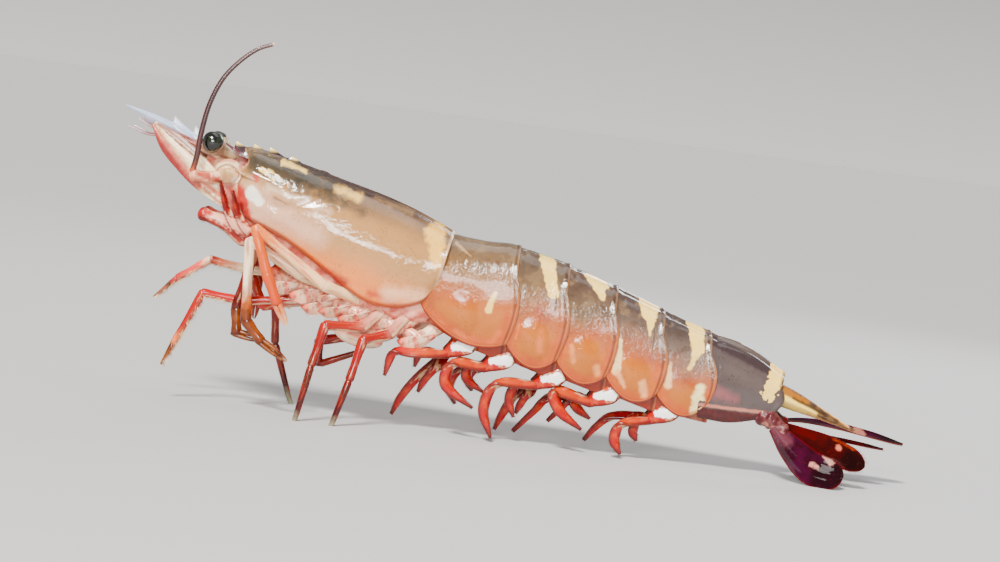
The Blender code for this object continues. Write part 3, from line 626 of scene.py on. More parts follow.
@dataclass(frozen=True)
class CarapaceFinish:
    """The head shield: translucent tan over pink, darker along the back, with cream patches."""

    tan: Colour = (210, 176, 130)
    pink: Colour = (238, 184, 132)
    back: Colour = (146, 124, 108)
    crest: Colour = (84, 62, 66)
    moss: Colour = (88, 90, 78)
    markings: tuple[Marking, ...] = (
        Marking((-22, 77), (4, 68), 7, 4, (224, 204, 190), 5, 0.7, 1.6),
        Marking((-16, 83), (8, 77), 1.2, 1, (226, 214, 204), 1.2, 0.5, 1.2),
        Marking((-22, 91.5), (16, 83.5), 4.4, 2.4, (92, 92, 82), 2.8, 0.85, 2.8),
        Marking((-6, 83.5), (20, 79), 1.4, 1.6, (112, 108, 98), 1.8, 0.6, 2.4),
        Marking((-9, 60.5), (16, 51.5), 2.8, 2.4, (216, 72, 40), 2.2, 1, 1.8),
        Marking((27, 49.5), (36, 47), 1.4, 1, (230, 110, 84), 1.4, 0.8, 1.4),
        Marking((34, 50), (45, 50.5), 3, 2.4, (240, 214, 198), 2.5, 0.7, 1.4),
        Marking((-26.5, 79), (-22, 67.5), 3.4, 2.6, CORAL, 1, 0.95, 1.4),
        Marking((-24.5, 75), (-22, 68.5), 1.1, 0.8, (190, 36, 34), 0.8, 0.85, 0.8),
        Marking((-21.4, 80), (-18, 77.2), 2.1, 1.8, (253, 244, 234), 0.8, 1, 1.4),
        Marking((-20.3, 86.5), (-20, 84.8), 0.9, 0.9, (226, 120, 118), 0.5, 0.8),
        Marking((-18.8, 88.9), (-13.4, 85.5), 0.8, 0.1, CREAM, 0.45, 1, 1.1),
        Marking((-16, 88.9), (-10.6, 86.5), 0.5, 0.1, CREAM, 0.45, 0.9, 1.1),
        Marking((-17.6, 87), (-15, 84.9), 0.3, 0.2, (52, 42, 44), 0.3, 0.8, 0.3),
        Marking((-11.5, 92.6), (-2.6, 90.2), 0.9, 0.4, CREAM, 0.6, 1, 1.2),
        Marking((-11, 90.9), (-3.5, 88.8), 0.4, 0.3, (40, 34, 32), 0.4, 0.8, 0.5),
        Marking((10, 85.6), (18, 83.4), 1.3, 1.8, (236, 212, 164), 1.3, 0.8, 1.5),
        # Faint pale band along the top of the back: a painted highlight.
        Marking((24, 84), (38, 80.4), 0.7, 0.9, (216, 190, 152), 0.9, 0.35, 0.8),
        Marking((47.8, 74), (50, 63.5), 3.9, 1.3, IVORY, 1, 0.9, 1.6),
    )

    def material(self) -> Material:
        """Builds the finish.

        Returns:
            The carapace's material.
        """
        graph = Graph("carapace_shell")
        x, _, z = graph.place()
        h = body_height(x, z)
        clouds = graph.grain(16, 3)
        fine = graph.grain(2.4, 4, seed=2)
        lower = 1 - (h + clouds * 8).within(-22, -8)
        colour = graph.mix(lower, self.tan, self.pink)
        colour = graph.mix((h + (clouds - 0.5) * 9).within(-5, 5) * 0.8, colour, self.back)
        speckle = graph.grain(5, 5, seed=5).within(0.52, 0.66)
        front = 1 - x.within(-12, 26)
        colour = graph.mix(speckle * front * h.within(-8, 1) * 0.8, colour, self.moss)
        crest = (h + (fine - 0.5) * 2.4).within(4.2, 6)
        colour = graph.mix(crest * (1 - x.within(34, 48)) * 0.85, colour, self.crest)
        colour = painted(graph, colour, self.markings)
        rear = graph.mark("rear")
        colour = graph.mix((1 - rear.within(0.3, 1.1)) * 0.7, colour, (226, 204, 178))
        rim = graph.mark("rim")
        colour = graph.mix((1 - rim.within(0.4, 1.8)) * 0.75, colour, (214, 96, 66))
        colour = graph.mix((fine.within(0.35, 0.7) - 0.5) * 0.12, colour, (120, 84, 60))
        colour = graph.mix(graph.speckle(1.3, 0.3) * 0.34, colour, (138, 92, 64))
        colour = graph.mix(graph.speckle(0.8, 0.3, 4) * h.within(-14, 2) * 0.4, colour, (92, 74, 62))
        wrinkle = graph.height(graph.grain(1.5, 4, seed=7), 0.2)
        dimples = graph.height(graph.grain(9, 2, seed=9), 0.34, wrinkle)
        return graph.finish(colour, Gloss(roughness=0.11), dimples)


def body_height(x: Signal, z: Signal) -> Signal:
    """Height across the pitched body, from places over the floor, in millimetres.

    Args:
        x: the place along the floor.
        z: its height over the floor.

    Returns:
        The height.
    """
    tip_x, tip_z = PLACE.rostrum_tip
    slope = math.sin(PLACE.pitch)
    rise = math.cos(PLACE.pitch)
    return x * slope + z * rise - (tip_x * slope + tip_z * rise)


@dataclass(frozen=True)
class RostrumFinish:
    """The beak: clear and bluish towards the tip, dark with cream-topped teeth over the eyes."""

    clear: Colour = (206, 212, 222)
    base: Colour = (92, 66, 68)
    blush: Colour = (186, 112, 104)

    def material(self) -> Material:
        """Builds the finish.

        Returns:
            The rostrum's material.
        """
        graph = Graph("rostrum_shell")
        x, _, z = graph.place()
        h = body_height(x, z)
        back = (x + (graph.grain(4, 3) - 0.5) * 8).within(-42, -31)
        colour = graph.mix(back, self.clear, self.base)
        blush = (1 - h.within(-2.5, 0.5)) * (1 - back) * 0.7
        colour = graph.mix(blush, colour, self.blush)
        colour = painted(graph, colour, (
            Marking((-33, 95.5), (-28.5, 92.6), 1.6, 1.2, (150, 34, 34), 0.8, 0.9),
        ))
        tips = graph.mark("crest")
        colour = graph.mix(tips.within(0.4, 0.8) * back, colour, (240, 222, 186))
        colour = graph.mix(tips.within(0.35, 0.7) * (1 - back) * 0.5, colour, (236, 214, 206))
        alpha = x.within(-62, -38) * 0.34 + 0.66
        normal = graph.height(graph.grain(1.8, 4), 0.08)
        return graph.finish(colour, Gloss(roughness=0.22, subsurface=0.1), normal, alpha=alpha)


@dataclass(frozen=True)
class SomiteFinish:
    """One ring of the abdomen: grey-brown back, orange side plate with a bright rim, cream band."""

    index: int
    rim_height: float
    grey: Colour
    back: Colour
    orange: Colour = (244, 156, 12)
    rim: Colour = (246, 136, 20)
    window: Colour = (218, 164, 92)
    orange_top: float = 21
    markings: tuple[Marking, ...] = ()

    def material(self) -> Material:
        """Builds the finish.

        Returns:
            The somite's material.
        """
        graph = Graph(f"somite_{self.index}_shell")
        _, _, z = graph.place()
        seed = float(self.index)
        clouds = graph.grain(12, 3, seed=seed)
        blotches = graph.grain(4.6, 4, seed=seed + 20)
        fine = graph.grain(2, 4, seed=2)
        above = z - self.rim_height
        colour = graph.mix((above + (clouds - 0.5) * 10).within(24, 38), self.grey, self.back)
        low = 1 - (above + (clouds - 0.5) * 18).within(self.orange_top - 10, self.orange_top + 8)
        colour = graph.mix(low, colour, self.orange)
        colour = graph.mix(
            blotches.within(0.52, 0.66) * 0.55, colour, graph.mix(low, (184, 158, 124), (248, 176, 56)),
        )
        colour = graph.mix(
            (1 - blotches.within(0.36, 0.46)) * 0.5, colour, graph.mix(low, (124, 98, 78), (236, 128, 8)),
        )
        edge = graph.mark("edge")
        window = (edge + (clouds - 0.5) * 3).within(2.4, 6)
        window = window * (1 - (above + (clouds - 0.5) * 5).within(13, 19))
        colour = graph.mix(window * 0.6, colour, self.window)
        colour = painted(graph, colour, self.markings)
        frame_line = 1 - (edge + (fine - 0.5) * 0.9).within(0.9, 2.3)
        colour = graph.mix(frame_line * 0.7 * (1 - above.within(13, 22)), colour, self.rim)
        thin = edge.within(0.35, 0.6) * (1 - edge.within(0.7, 1))
        colour = graph.mix(thin * 0.4, colour, (250, 206, 140))
        colour = graph.mix((1 - graph.mark("rim").within(0.15, 0.5)) * 0.7, colour, (190, 66, 34))
        rear = graph.mark("rear")
        groove = rear.within(0.5, 0.9) * (1 - rear.within(1.3, 2))
        colour = graph.mix(groove * 0.6, colour, (96, 66, 50))
        colour = graph.mix((1 - rear.within(0.2, 0.45)) * 0.45, colour, (206, 164, 120))
        colour = graph.mix((fine.within(0.35, 0.7) - 0.5) * 0.12, colour, (110, 80, 60))
        colour = graph.mix(graph.speckle(1.2, 0.3, seed) * 0.34, colour, (142, 74, 40))
        pleats = above.within(15, 21) * (1 - above.within(27, 34))
        wrinkle = graph.height(graph.grain(1.2, 3, seed=7) * (pleats * 0.8 + 0.2), 0.5)
        dimples = graph.height(graph.grain(6, 2, seed=9), 0.26, wrinkle)
        return graph.finish(colour, Gloss(roughness=0.11), dimples)


@dataclass(frozen=True)
class LastSomiteFinish:
    """The long sixth ring: grey with a dark stripe along the back, pink and maroon below."""

    grey: Colour = (128, 112, 110)
    stripe: Colour = (98, 80, 82)
    pink: Colour = (196, 128, 132)
    maroon: Colour = (118, 40, 46)

    def material(self) -> Material:
        """Builds the finish.

        Returns:
            The sixth somite's material.
        """
        graph = Graph("somite_6_shell")
        x, _, z = graph.place()
        fine = graph.grain(2, 4, seed=2)
        clouds = graph.grain(10, 3, seed=6)
        fall = z + (x - 156) * 0.36
        colour = graph.mix((clouds - 0.3) * 0.8, self.grey, (142, 126, 120))
        stripe = (fall + (fine - 0.5) * 2).within(45, 46.8)
        colour = graph.mix(stripe * 0.85, colour, self.stripe)
        colour = graph.mix(stripe * (fall.within(49, 50.2)) * 0.6, colour, (150, 132, 120))
        colour = painted(graph, colour, (
            Marking((158, 29.6), (166, 27.6), 2.2, 1.2, self.pink, 2.4, 0.7),
            Marking((163, 38), (174, 34), 2.4, 2, (152, 136, 130), 3, 0.5, 2),
            Marking((181.4, 40.6), (178.4, 31), 3.3, 2.6, CREAM, 0.25, 1, 1.7),
        ), rough_size=1.6)
        keel = 1 - (z + (fine - 0.5) * 1.6).within(22.6, 23.6)
        colour = graph.mix(graph.speckle(1.2, 0.3) * 0.4, colour, (84, 58, 56))
        line = (z + (fine - 0.5) * 0.8).within(23.2, 23.8) * (1 - (z + (fine - 0.5) * 0.8).within(24.2, 25))
        colour = graph.mix(line * 0.7, colour, (222, 176, 158))
        colour = graph.mix(keel, colour, graph.mix(fine.within(0.45, 0.6), self.maroon, (140, 52, 52)))
        rear = graph.mark("rear")
        colour = graph.mix((1 - rear.within(0.4, 1)) * 0.6, colour, (120, 96, 84))
        wrinkle = graph.height(graph.grain(1.7, 5, seed=7), 0.1)
        dimples = graph.height(graph.grain(7, 3, seed=9), 0.35, wrinkle)
        return graph.finish(colour, Gloss(roughness=0.12), dimples)


@dataclass(frozen=True)
class PatchedFinish:
    """A plain coloured surface with markings, for plates, blades and flesh."""

    name: str
    first: Colour
    second: Colour
    markings: tuple[Marking, ...] = ()
    cloud: float = 7
    wrinkle: float = 0.12
    wrinkle_size: float = 1.6
    gloss: Gloss = Gloss()
    rim_colour: Optional[Colour] = None
    rim_width: float = 0.9
    speckle: Colour = (178, 74, 62)
    speckle_strength: float = 0.3

    def material(self) -> Material:
        """Builds the finish.

        Returns:
            The material of that name.
        """
        graph = Graph(self.name)
        share = graph.grain(self.cloud, 4).within(0.36, 0.64)
        colour = painted(graph, graph.mix(share, self.first, self.second), self.markings, 1.6)
        colour = graph.mix(graph.speckle(0.9, 0.3) * self.speckle_strength, colour, self.speckle)
        if self.rim_colour is not None:
            colour = graph.mix(
                (1 - graph.mark("rim").within(0.2, self.rim_width)) * 0.85, colour, self.rim_colour,
            )
        normal = graph.height(graph.grain(self.wrinkle_size, 4, seed=7), self.wrinkle)
        return graph.finish(colour, self.gloss, normal)


@dataclass(frozen=True)
class LimbFinish:
    """A limb whose colour runs from root to tip, with streaks along it and pale streaks nearer the root."""

    name: str
    stops: Stops
    streak: Colour = (214, 92, 66)
    streak_strength: float = 0.55
    pale_strength: float = 0.5
    gloss: Gloss = Gloss(roughness=0.2, coat=0.16, specular=0.32, subsurface=0.06)
    markings: tuple[Marking, ...] = ()
    edge: Optional[Colour] = None

    def material(self) -> Material:
        """Builds the finish.

        Returns:
            The limb's material.
        """
        graph = Graph(self.name)
        around, along = graph.across_along()
        turn = around * (2 * math.pi)
        lengthwise = graph.vector((turn + math.pi / 2).wave() * 0.9, turn.wave() * 0.9, along * 7)
        streaks = graph.grain(1000, 3, lengthwise)
        mottle = graph.grain(2.6, 4)
        colour = graph.ramp(along + (mottle - 0.5) * 0.10, self.stops)
        colour = graph.mix(streaks.within(0.48, 0.6) * self.streak_strength, colour, self.streak)
        pale = graph.grain(1000, 3, lengthwise, 4)
        upper = 1 - along.within(0.66, 0.8)
        colour = graph.mix(pale.within(0.54, 0.66) * upper * self.pale_strength, colour, (250, 232, 214))
        if self.edge is not None:
            colour = graph.mix((1 - graph.mark("rim").within(0.15, 1.1)) * 0.75, colour, self.edge)
        if self.markings:
            colour = painted(graph, colour, self.markings, 1.4)
        ribs = graph.height(streaks, 0.16)
        normal = graph.height(graph.grain(0.9, 3, seed=7), 0.05, ribs)
        return graph.finish(colour, self.gloss, normal)


@dataclass(frozen=True)
class EyeFinish:
    """A dark wet eye with a green depth and a yellow-brown lower rim."""

    dark: Colour = (34, 38, 28)
    green: Colour = (78, 94, 66)
    amber: Colour = (132, 98, 44)
    centre_height: float = 96.6

    def material(self) -> Material:
        """Builds the finish.

        Returns:
            The cornea's material.
        """
        graph = Graph("eye_cornea")
        _, _, z = graph.place()
        colour = graph.mix(graph.grain(2.4, 3).within(0.45, 0.62) * 0.75, self.dark, self.green)
        low = 1 - (z + (graph.grain(1.2, 2) - 0.5) * 1.2).within(
            self.centre_height - 4, self.centre_height - 2.9,
        )
        colour = graph.mix(low * 0.9, colour, self.amber)
        facets = graph.height(graph.cells(0.16), 0.012)
        return graph.finish(
            colour, Gloss(roughness=0.16, coat=0.6, coat_roughness=0.04, subsurface=0), facets,
        )


@dataclass(frozen=True)
class SetaFinish:
    """Single hairs, darker or paler from one to the next."""

    name: str
    first: Colour
    second: Colour

    def material(self) -> Material:
        """Builds the finish.

        Returns:
            The hairs' material.
        """
        graph = Graph(self.name)
        colour = graph.mix(graph.grain(3, 1).within(0.4, 0.6), self.first, self.second)
        return graph.finish(colour, Gloss(roughness=0.4, coat=0.3, subsurface=0))


# Modelling


class Workbench:
    """Makes meshes with Blender's own operators and hands them over to the frame."""

    def __init__(self) -> None:
        """Starts with no pieces."""
        self.made: list[Piece] = []

    def alone(self, *pieces: Piece) -> None:
        """Selects these pieces and nothing else, the first of them active."""
        bpy.ops.object.select_all(action="DESELECT")
        for piece in pieces:
            piece.select_set(True)
        if pieces:
            bpy.context.view_layer.objects.active = pieces[0]

    def weld(self, piece: Piece, reach: float = 0.002) -> None:
        """Closes seams and poles and turns the faces outwards.

        Args:
            piece: the mesh to mend.
            reach: how near points have to be to become one, in millimetres.
        """
        self.alone(piece)
        bpy.ops.object.mode_set(mode="EDIT")
        bpy.ops.mesh.select_all(action="SELECT")
        bpy.ops.mesh.remove_doubles(threshold=reach * MM)
        bpy.ops.mesh.normals_make_consistent(inside=False)
        bpy.ops.object.mode_set(mode="OBJECT")

    def rolled(
        self,
        name: str,
        rows: Sequence[Ring],
        along: Optional[Sequence[float]] = None,
        marks: Optional[dict[str, Sequence[Sequence[float]]]] = None,
    ) -> Piece:
        """Rolls a grid into a closed form through rings of equal count.

        Args:
            name: the piece's name.
            rows: the rings, in metres, from one end to the other.
            along: the value that the UV map gets at each ring, from 0 to 1.
            marks: numbers that the mesh carries at each point of each ring.

        Returns:
            The piece, with its ends closed to a point.
        """
        count = len(rows[0])
        ends = [[sum(row, Vector()) / count] * count for row in (rows[0], rows[-1])]
        rings = [ends[0], *rows, ends[1]]
        reach = along or [i / (len(rows) - 1) for i in range(len(rows))]
        reach = [reach[0], *reach, reach[-1]]
        bpy.ops.object.select_all(action="DESELECT")
        bpy.ops.mesh.primitive_grid_add(x_subdivisions=count, y_subdivisions=len(rings) - 1, size=1)
        piece = bpy.context.object
        piece.name = name
        piece.data.name = name
        places = [value for ring in rings for point in (*ring, ring[0]) for value in point]
        piece.data.vertices.foreach_set("co", places)
        corners = []
        for loop in piece.data.loops:
            row, column = divmod(loop.vertex_index, count + 1)
            corners += [column / count, reach[row]]
        piece.data.uv_layers[0].data.foreach_set("uv", corners)
        for mark, table in (marks or {}).items():
            values = [value for row in (table[0], *table, table[-1]) for value in (*row, row[0])]
            piece.data.attributes.new(mark, "FLOAT", "POINT").data.foreach_set("value", values)
        self.weld(piece)
        piece.location = (0, 0, 0)
        return piece

    def joined(self, name: str, parts: Sequence[Piece]) -> Piece:
        """Several meshes as one object.

        Args:
            name: the name of the whole.
            parts: the meshes.

        Returns:
            The one object.
        """
        self.alone(*parts)
        if len(parts) > 1:
            bpy.ops.object.join()
        piece = bpy.context.view_layer.objects.active
        piece.name = name
        piece.data.name = name
        return piece

    def lump(
        self, name: str, centre: Point, size: Point, presses: Sequence[tuple[Point, float, float]],
        tilt: float = 0,
    ) -> Piece:
        """A rounded form: a sphere drawn out and then pressed in or pulled out on some sides.

        Args:
            name: the piece's name.
            centre: its place over the floor, in millimetres.
            size: its half sizes in millimetres.
            presses: for each, the side that it comes from, its depth as a share of the size, and its width.
            tilt: how far it leans about the y axis, in radians.

        Returns:
            The form.
        """
        self.alone()
        bpy.ops.mesh.primitive_uv_sphere_add(segments=48, ring_count=32, radius=1)
        piece = bpy.context.object
        for vert in piece.data.vertices:
            way = vert.co.normalized()
            push = sum(
                depth * gauss((way - Vector(side).normalized()).length, width)
                for side, depth, width in presses
            )
            vert.co = way * (1 + push)
        piece.scale = [half * MM for half in size]
        piece.rotation_euler = (0, tilt, 0)
        piece.location = PLACE.at(*centre)
        bpy.ops.object.transform_apply(location=True, rotation=True, scale=True)
        piece.name = name
        return piece

    def done(
        self,
        piece: Piece,
        material: Material,
        slot: str,
        nodes: Sequence[str],
        angle: float = 50,
    ) -> Piece:
        """Dresses a piece and fixes it to the frame.

        Args:
            piece: the finished mesh.
            material: its finish.
            slot: the record's material slot; not used.
            nodes: the nodes of the frame that the piece stands for.
            angle: edges sharper than this, in degrees, stay sharp.

        Returns:
            The piece.
        """
        self.alone(piece)
        bpy.ops.object.shade_smooth_by_angle(angle=math.radians(angle))
        piece.data.materials.clear()
        piece.data.materials.append(material)
        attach(piece, BODY)
        if nodes:
            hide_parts(*nodes)
        self.made.append(piece)
        LOG.info("%s: %d faces", piece.name, len(piece.data.polygons))
        return piece


BENCH = Workbench()


def ring_round(centre: Vector, way: Vector, wide: float, deep: float, count: int, side: Vector) -> Ring:
    """An oval ring square to a direction.

    Args:
        centre: its centre, in metres.
        way: the direction that it faces.
        wide: half its width along side, in millimetres.
        deep: half its other width, in millimetres.
        count: its number of points.
        side: the direction that its width follows as nearly as it can.

    Returns:
        The ring's points.
    """
    across = (side - way * side.dot(way)).normalized()
    up = way.cross(across)
    turns = [2 * math.pi * k / count for k in range(count)]
    return [centre + (across * math.cos(a) * wide + up * math.sin(a) * deep) * MM for a in turns]


class Seta(Enum):
    """The kinds of hair: half thickness in millimetres."""

    FINE = 0.05
    STOUT = 0.085


@dataclass
class Fringe:
    """Hairs set one by one, kept together until they are made as one mesh."""

    name: str
    kind: Seta
    roots: list[tuple[Vector, Vector, float, Flat]] = field(default_factory=list)

    def add(self, root: Vector, way: Vector, length: float, place: Flat) -> None:
        """Plants one hair.

        Args:
            root: where it stands, in metres.
            way: which way it points.
            length: its length in millimetres.
            place: where its root is on the unwrapped limb, from 0 to 1 each way.
        """
        tip = root + way.normalized() * length * MM
        if all(CAD_BOX[0][i] < tip[i] < CAD_BOX[1][i] for i in range(3)):
            self.roots.append((root, way.normalized(), length, place))

    def build(self, material: Material, slot: str) -> Piece:
        """Copies one modelled hair to every root.

        Args:
            material: the hairs' finish.
            slot: the record's material slot.

        Returns:
            The hairs as one piece.
        """
        BENCH.alone()
        bpy.ops.mesh.primitive_cone_add(vertices=4, radius1=1, radius2=0, depth=1, location=(0, 0, 0.5))
        model = bpy.context.object
        bpy.ops.object.transform_apply(location=True)
        shape = [vert.co.copy() for vert in model.data.vertices]
        faces = [tuple(face.vertices) for face in model.data.polygons]
        mesh = model.data
        places: list[Vector] = []
        copies: list[tuple[int, ...]] = []
        spots: list[Flat] = []
        for root, way, length, spot in self.roots:
            turn = way.to_track_quat("Z", "Y")
            first = len(places)
            for point in shape:
                sized = Vector((point.x * self.kind.value, point.y * self.kind.value, point.z * length)) * MM
                places.append(root + turn @ sized)
                spots.append(spot)
            copies += [tuple(first + corner for corner in face) for face in faces]
        mesh.clear_geometry()
        mesh.from_pydata(places, [], copies)
        patch = mesh.uv_layers.new(name="OFBake")
        flat = []
        for loop in mesh.loops:
            u, v = spots[loop.vertex_index]
            corner = loop.vertex_index % len(shape)
            flat += [u + 0.0015 * math.cos(corner * 1.6), v + 0.0015 * math.sin(corner * 1.6)]
        patch.data.foreach_set("uv", flat)
        model.name = self.name
        mesh.name = self.name
        return BENCH.done(model, material, slot, [])


# The body


@dataclass(frozen=True)
class ShellForm:
    """The outline of a section of shell: over the back, down the side, and in under the rim."""

    rim_angle: float = math.radians(125)
    side_steps: int = 44
    fullness: float = 0.8
    keel_width: float = 1.1
    groove_place: float = 2.7
    groove_depth: float = 0.4
    bead: float = 0.3
    bead_height: float = 1.1
    thick: float = 0.8
    lean_centre: float = -8

    def half(
        self, top: float, rim: float, half_width: float, belly: float, keel: float, relief: Relief, s: float
    ) -> list[tuple[float, float, float]]:
        """The right half of a section.

        Args:
            top: height of the back.
            rim: height of the lower rim.
            half_width: widest reach to the side.
            belly: height of the closed underside.
            keel: how high the ridge along the back stands.
            relief: how far the surface stands out at s, h and y.
            s: the section's place along the body.

        Returns:
            y, h and height over the rim of each point, from the back to the middle of the belly.
        """
        tall = (top - rim) / (1 - math.cos(self.rim_angle))
        middle = top - tall
        points = []
        for i in range(self.side_steps + 1):
            angle = self.rim_angle * i / self.side_steps
            y = half_width * math.sin(angle) ** self.fullness
            h = middle + tall * math.cos(angle)
            out = Vector((y / half_width ** 2, (h - middle) / tall ** 2)).normalized()
            lift = keel * gauss(y, self.keel_width)
            lift -= keel * self.groove_depth * gauss(y - self.groove_place, 1)
            lift += self.bead * gauss(h - rim - self.bead_height, 0.9) * (1 if i > self.side_steps / 2 else 0)
            lift += relief(s, h, y)
            points.append((max(y + out.x * lift, 0) if i else 0, h + out.y * lift, h - rim))
        rim_y, rim_h, _ = points[-1]
        scale = min(1, half_width / 12)
        points += [
            (rim_y - 0.35 * scale, rim_h - 0.35, 0),
            (rim_y - self.thick * scale, rim_h - 0.1, 0),
            (rim_y - 1.3 * self.thick * scale, max(rim_h + 0.9, min(belly, rim_h + 1.2)), 0),
            (rim_y - 1.9 * self.thick * scale, max(rim_h + 1.4, belly + 1), 0),
            (0.62 * half_width, belly + 0.6, 0),
            (0.4 * half_width, belly + 0.2, 0),
            (0.2 * half_width, belly, 0),
            (0, belly, 0),
        ]
        return points

    def ring(
        self,
        s: float,
        row: Sequence[float],
        belly: float,
        keel: float,
        relief: Relief,
        push: Callable[[float, float], float],
        size: float = 1,
    ) -> tuple[Ring, list[float]]:
        """A whole section in its place.

        Args:
            s: its place along the body.
            row: lean, top, rim and half width.
            belly: height of the closed underside.
            keel: how high the ridge along the back stands.
            relief: how far the surface stands out at s, h and y.
            push: how far a point lies tailward, by its height and its share of the way down.
            size: the section drawn in about its middle, for a lip.

        Returns:
            The ring's points, and the height over the rim of each.
        """
        lean, top, rim, half_width = row
        half = self.half(top, rim, half_width, belly, keel, relief, s)
        outline = half + [(-y, h, over) for y, h, over in reversed(half[1:-1])]
        middle = 0.5 * (top + rim)
        ring = []
        for y, h, _ in outline:
            down = min(max((top - h) / (top - rim), 0), 1)
            place = s - lean * (h - self.lean_centre) + push(h, down)
            ring.append(PLACE.on_body(place, middle + (h - middle) * size, y * size))
        return ring, [over for _, _, over in outline]


def lumps(strength: float, size: float, seed: float) -> Relief:
    """Slow unevenness, as a living shell has.

    Args:
        strength: how high it stands, in millimetres.
        size: the size of its lumps, in millimetres.
        seed: another number gives another draw.

    Returns:
        The unevenness at s, h and y.
    """
    def lump(s: float, h: float, y: float) -> float:
        """The unevenness at one place."""
        return strength * noise.noise(Vector((s / size + seed, h / size, abs(y) / size)))
    return lump


@dataclass
class Carapace:
    """The head shield."""

    stations: Table = (
        (50, 0.33, 2.6, -17.5, 9.6), (54, 0.33, 4, -19.7, 11.4), (62, 0.30, 5, -20, 13),
        (74, 0.25, 5.9, -21.4, 14.8), (88, 0.20, 6.5, -25, 16.2), (100, 0.15, 7.2, -28.2, 17),
        (108, 0.12, 7.4, -29.6, 17.2), (116, 0.10, 7.2, -28.8, 17), (124, 0.10, 6.5, -25.5, 16.6),
        (129.5, 0.10, 5.9, -21, 16.3), (132.5, 0.10, 5.4, -15, 16),
    )
    rows: int = 84
    recess: float = 7
    keel: float = 0.8
    orbit_depth: float = 3.4
    orbit_height: float = -0.5
    orbit_span: float = 3.2
    orbit_reach: float = 7
    cervical_groove: tuple[Flat, ...] = ((67, -12), (73, -8.5), (79, -4.5), (86, 1), (90, 4.2))
    hepatic_groove: tuple[Flat, ...] = ((52, -13.5), (60, -11), (67, -11.5), (73, -10))
    gastric_ridge: tuple[Flat, ...] = ((50, -3.6), (58, -3.8), (68, -4.6))
    spine_sink: float = 0.9
    gill_ridge: tuple[Flat, ...] = ((88, -12), (104, -11), (122, -9))
    side_spines: tuple[tuple[Point, Point], ...] = (
        ((57, -5.6, 11.2), (47, -5.2, 11.6)),
        ((72, -8.2, 13.4), (63.5, -7.6, 15.2)),
    )
    form: ShellForm = field(default_factory=ShellForm)

    def relief(self, s: float, h: float, y: float) -> float:
        """How far the surface stands out, in millimetres.

        Args:
            s: how far along the body.
            h: how far towards the back.
            y: how far to the side.

        Returns:
            The height, outwards.
        """
        if abs(y) < 3:
            return 0
        rise = 0.14 * noise.noise(Vector((s / 9, h / 9, y / 9)))
        rise -= 0.6 * gauss(distance_to_line((s, h), self.cervical_groove), 1.7)
        rise -= 0.45 * gauss(distance_to_line((s, h), self.hepatic_groove), 1.4)
        rise += 0.4 * gauss(distance_to_line((s, h), self.gastric_ridge), 1.3)
        rise += 0.25 * gauss(distance_to_line((s, h), self.gill_ridge), 2.4)
        return rise

    def build(self) -> None:
        """Makes the shield, with its spines."""
        first, last = self.stations[0][0], self.stations[-1][0]
        rings: list[Ring] = []
        marks: dict[str, list[list[float]]] = {"rim": [], "rear": []}

        def add(s: float, size: float = 1, shift: float = 0) -> None:
            """Adds one section.

            Args:
                s: where it lies along the body.
                size: its share of the full size.
                shift: how far it is pushed tailwards.
            """
            row = eased(self.stations, s)
            reach = max(0, 1 - (s - first) / self.orbit_reach)

            def push(h: float, down: float) -> float:
                """The notch over the eye."""
                return shift + reach * self.orbit_depth * gauss(h - self.orbit_height, self.orbit_span)

            ring, over = self.form.ring(s, row, row[2] + self.recess, self.keel, self.relief, push, size)
            rings.append(ring)
            marks["rim"].append(over)
            marks["rear"].append([min(last - s, s - first + 0.4)] * len(ring))

        add(first, 0.93, 0.9)
        add(first, 0.97, 0.1)
        for i in range(self.rows):
            add(first + (last - first) * i / (self.rows - 1))
        add(last, 0.985, 0.25)
        add(last, 0.95, 0.1)
        add(last, 0.93, -1.6)
        shell = BENCH.rolled("carapace_shell", rings, marks=marks)
        parts = [shell] + [self.spine(root, tip, side) for root, tip in self.side_spines for _, side in SIDES]
        piece = BENCH.joined("carapace_shell", parts)
        BENCH.done(piece, CarapaceFinish().material(), "shell_brown", ["carapace"])

    def spine(self, root: Point, tip: Point, side: int) -> Piece:
        """One sharp spine on the side of the shield.

        Args:
            root: its root at s, h and y.
            tip: its tip.
            side: -1 for the left side, 1 for the right.

        Returns:
            The spine.
        """
        start = PLACE.on_body(root[0], root[1], (root[2] - self.spine_sink) * side)
        end = PLACE.on_body(tip[0], tip[1], (tip[2] - 0.5 * self.spine_sink) * side)
        way = (end - start).normalized()
        rings = []
        marks = {"rim": [], "rear": []}
        for t, radius in ((0, 1.3), (0.25, 1.2), (0.5, 0.85), (0.75, 0.5), (0.92, 0.22), (1, 0.05)):
            rings.append(ring_round(start.lerp(end, t), way, radius, radius, 12, UP))
            marks["rim"].append([9] * 12)
            marks["rear"].append([9] * 12)
        return BENCH.rolled("spine", rings, marks=marks)


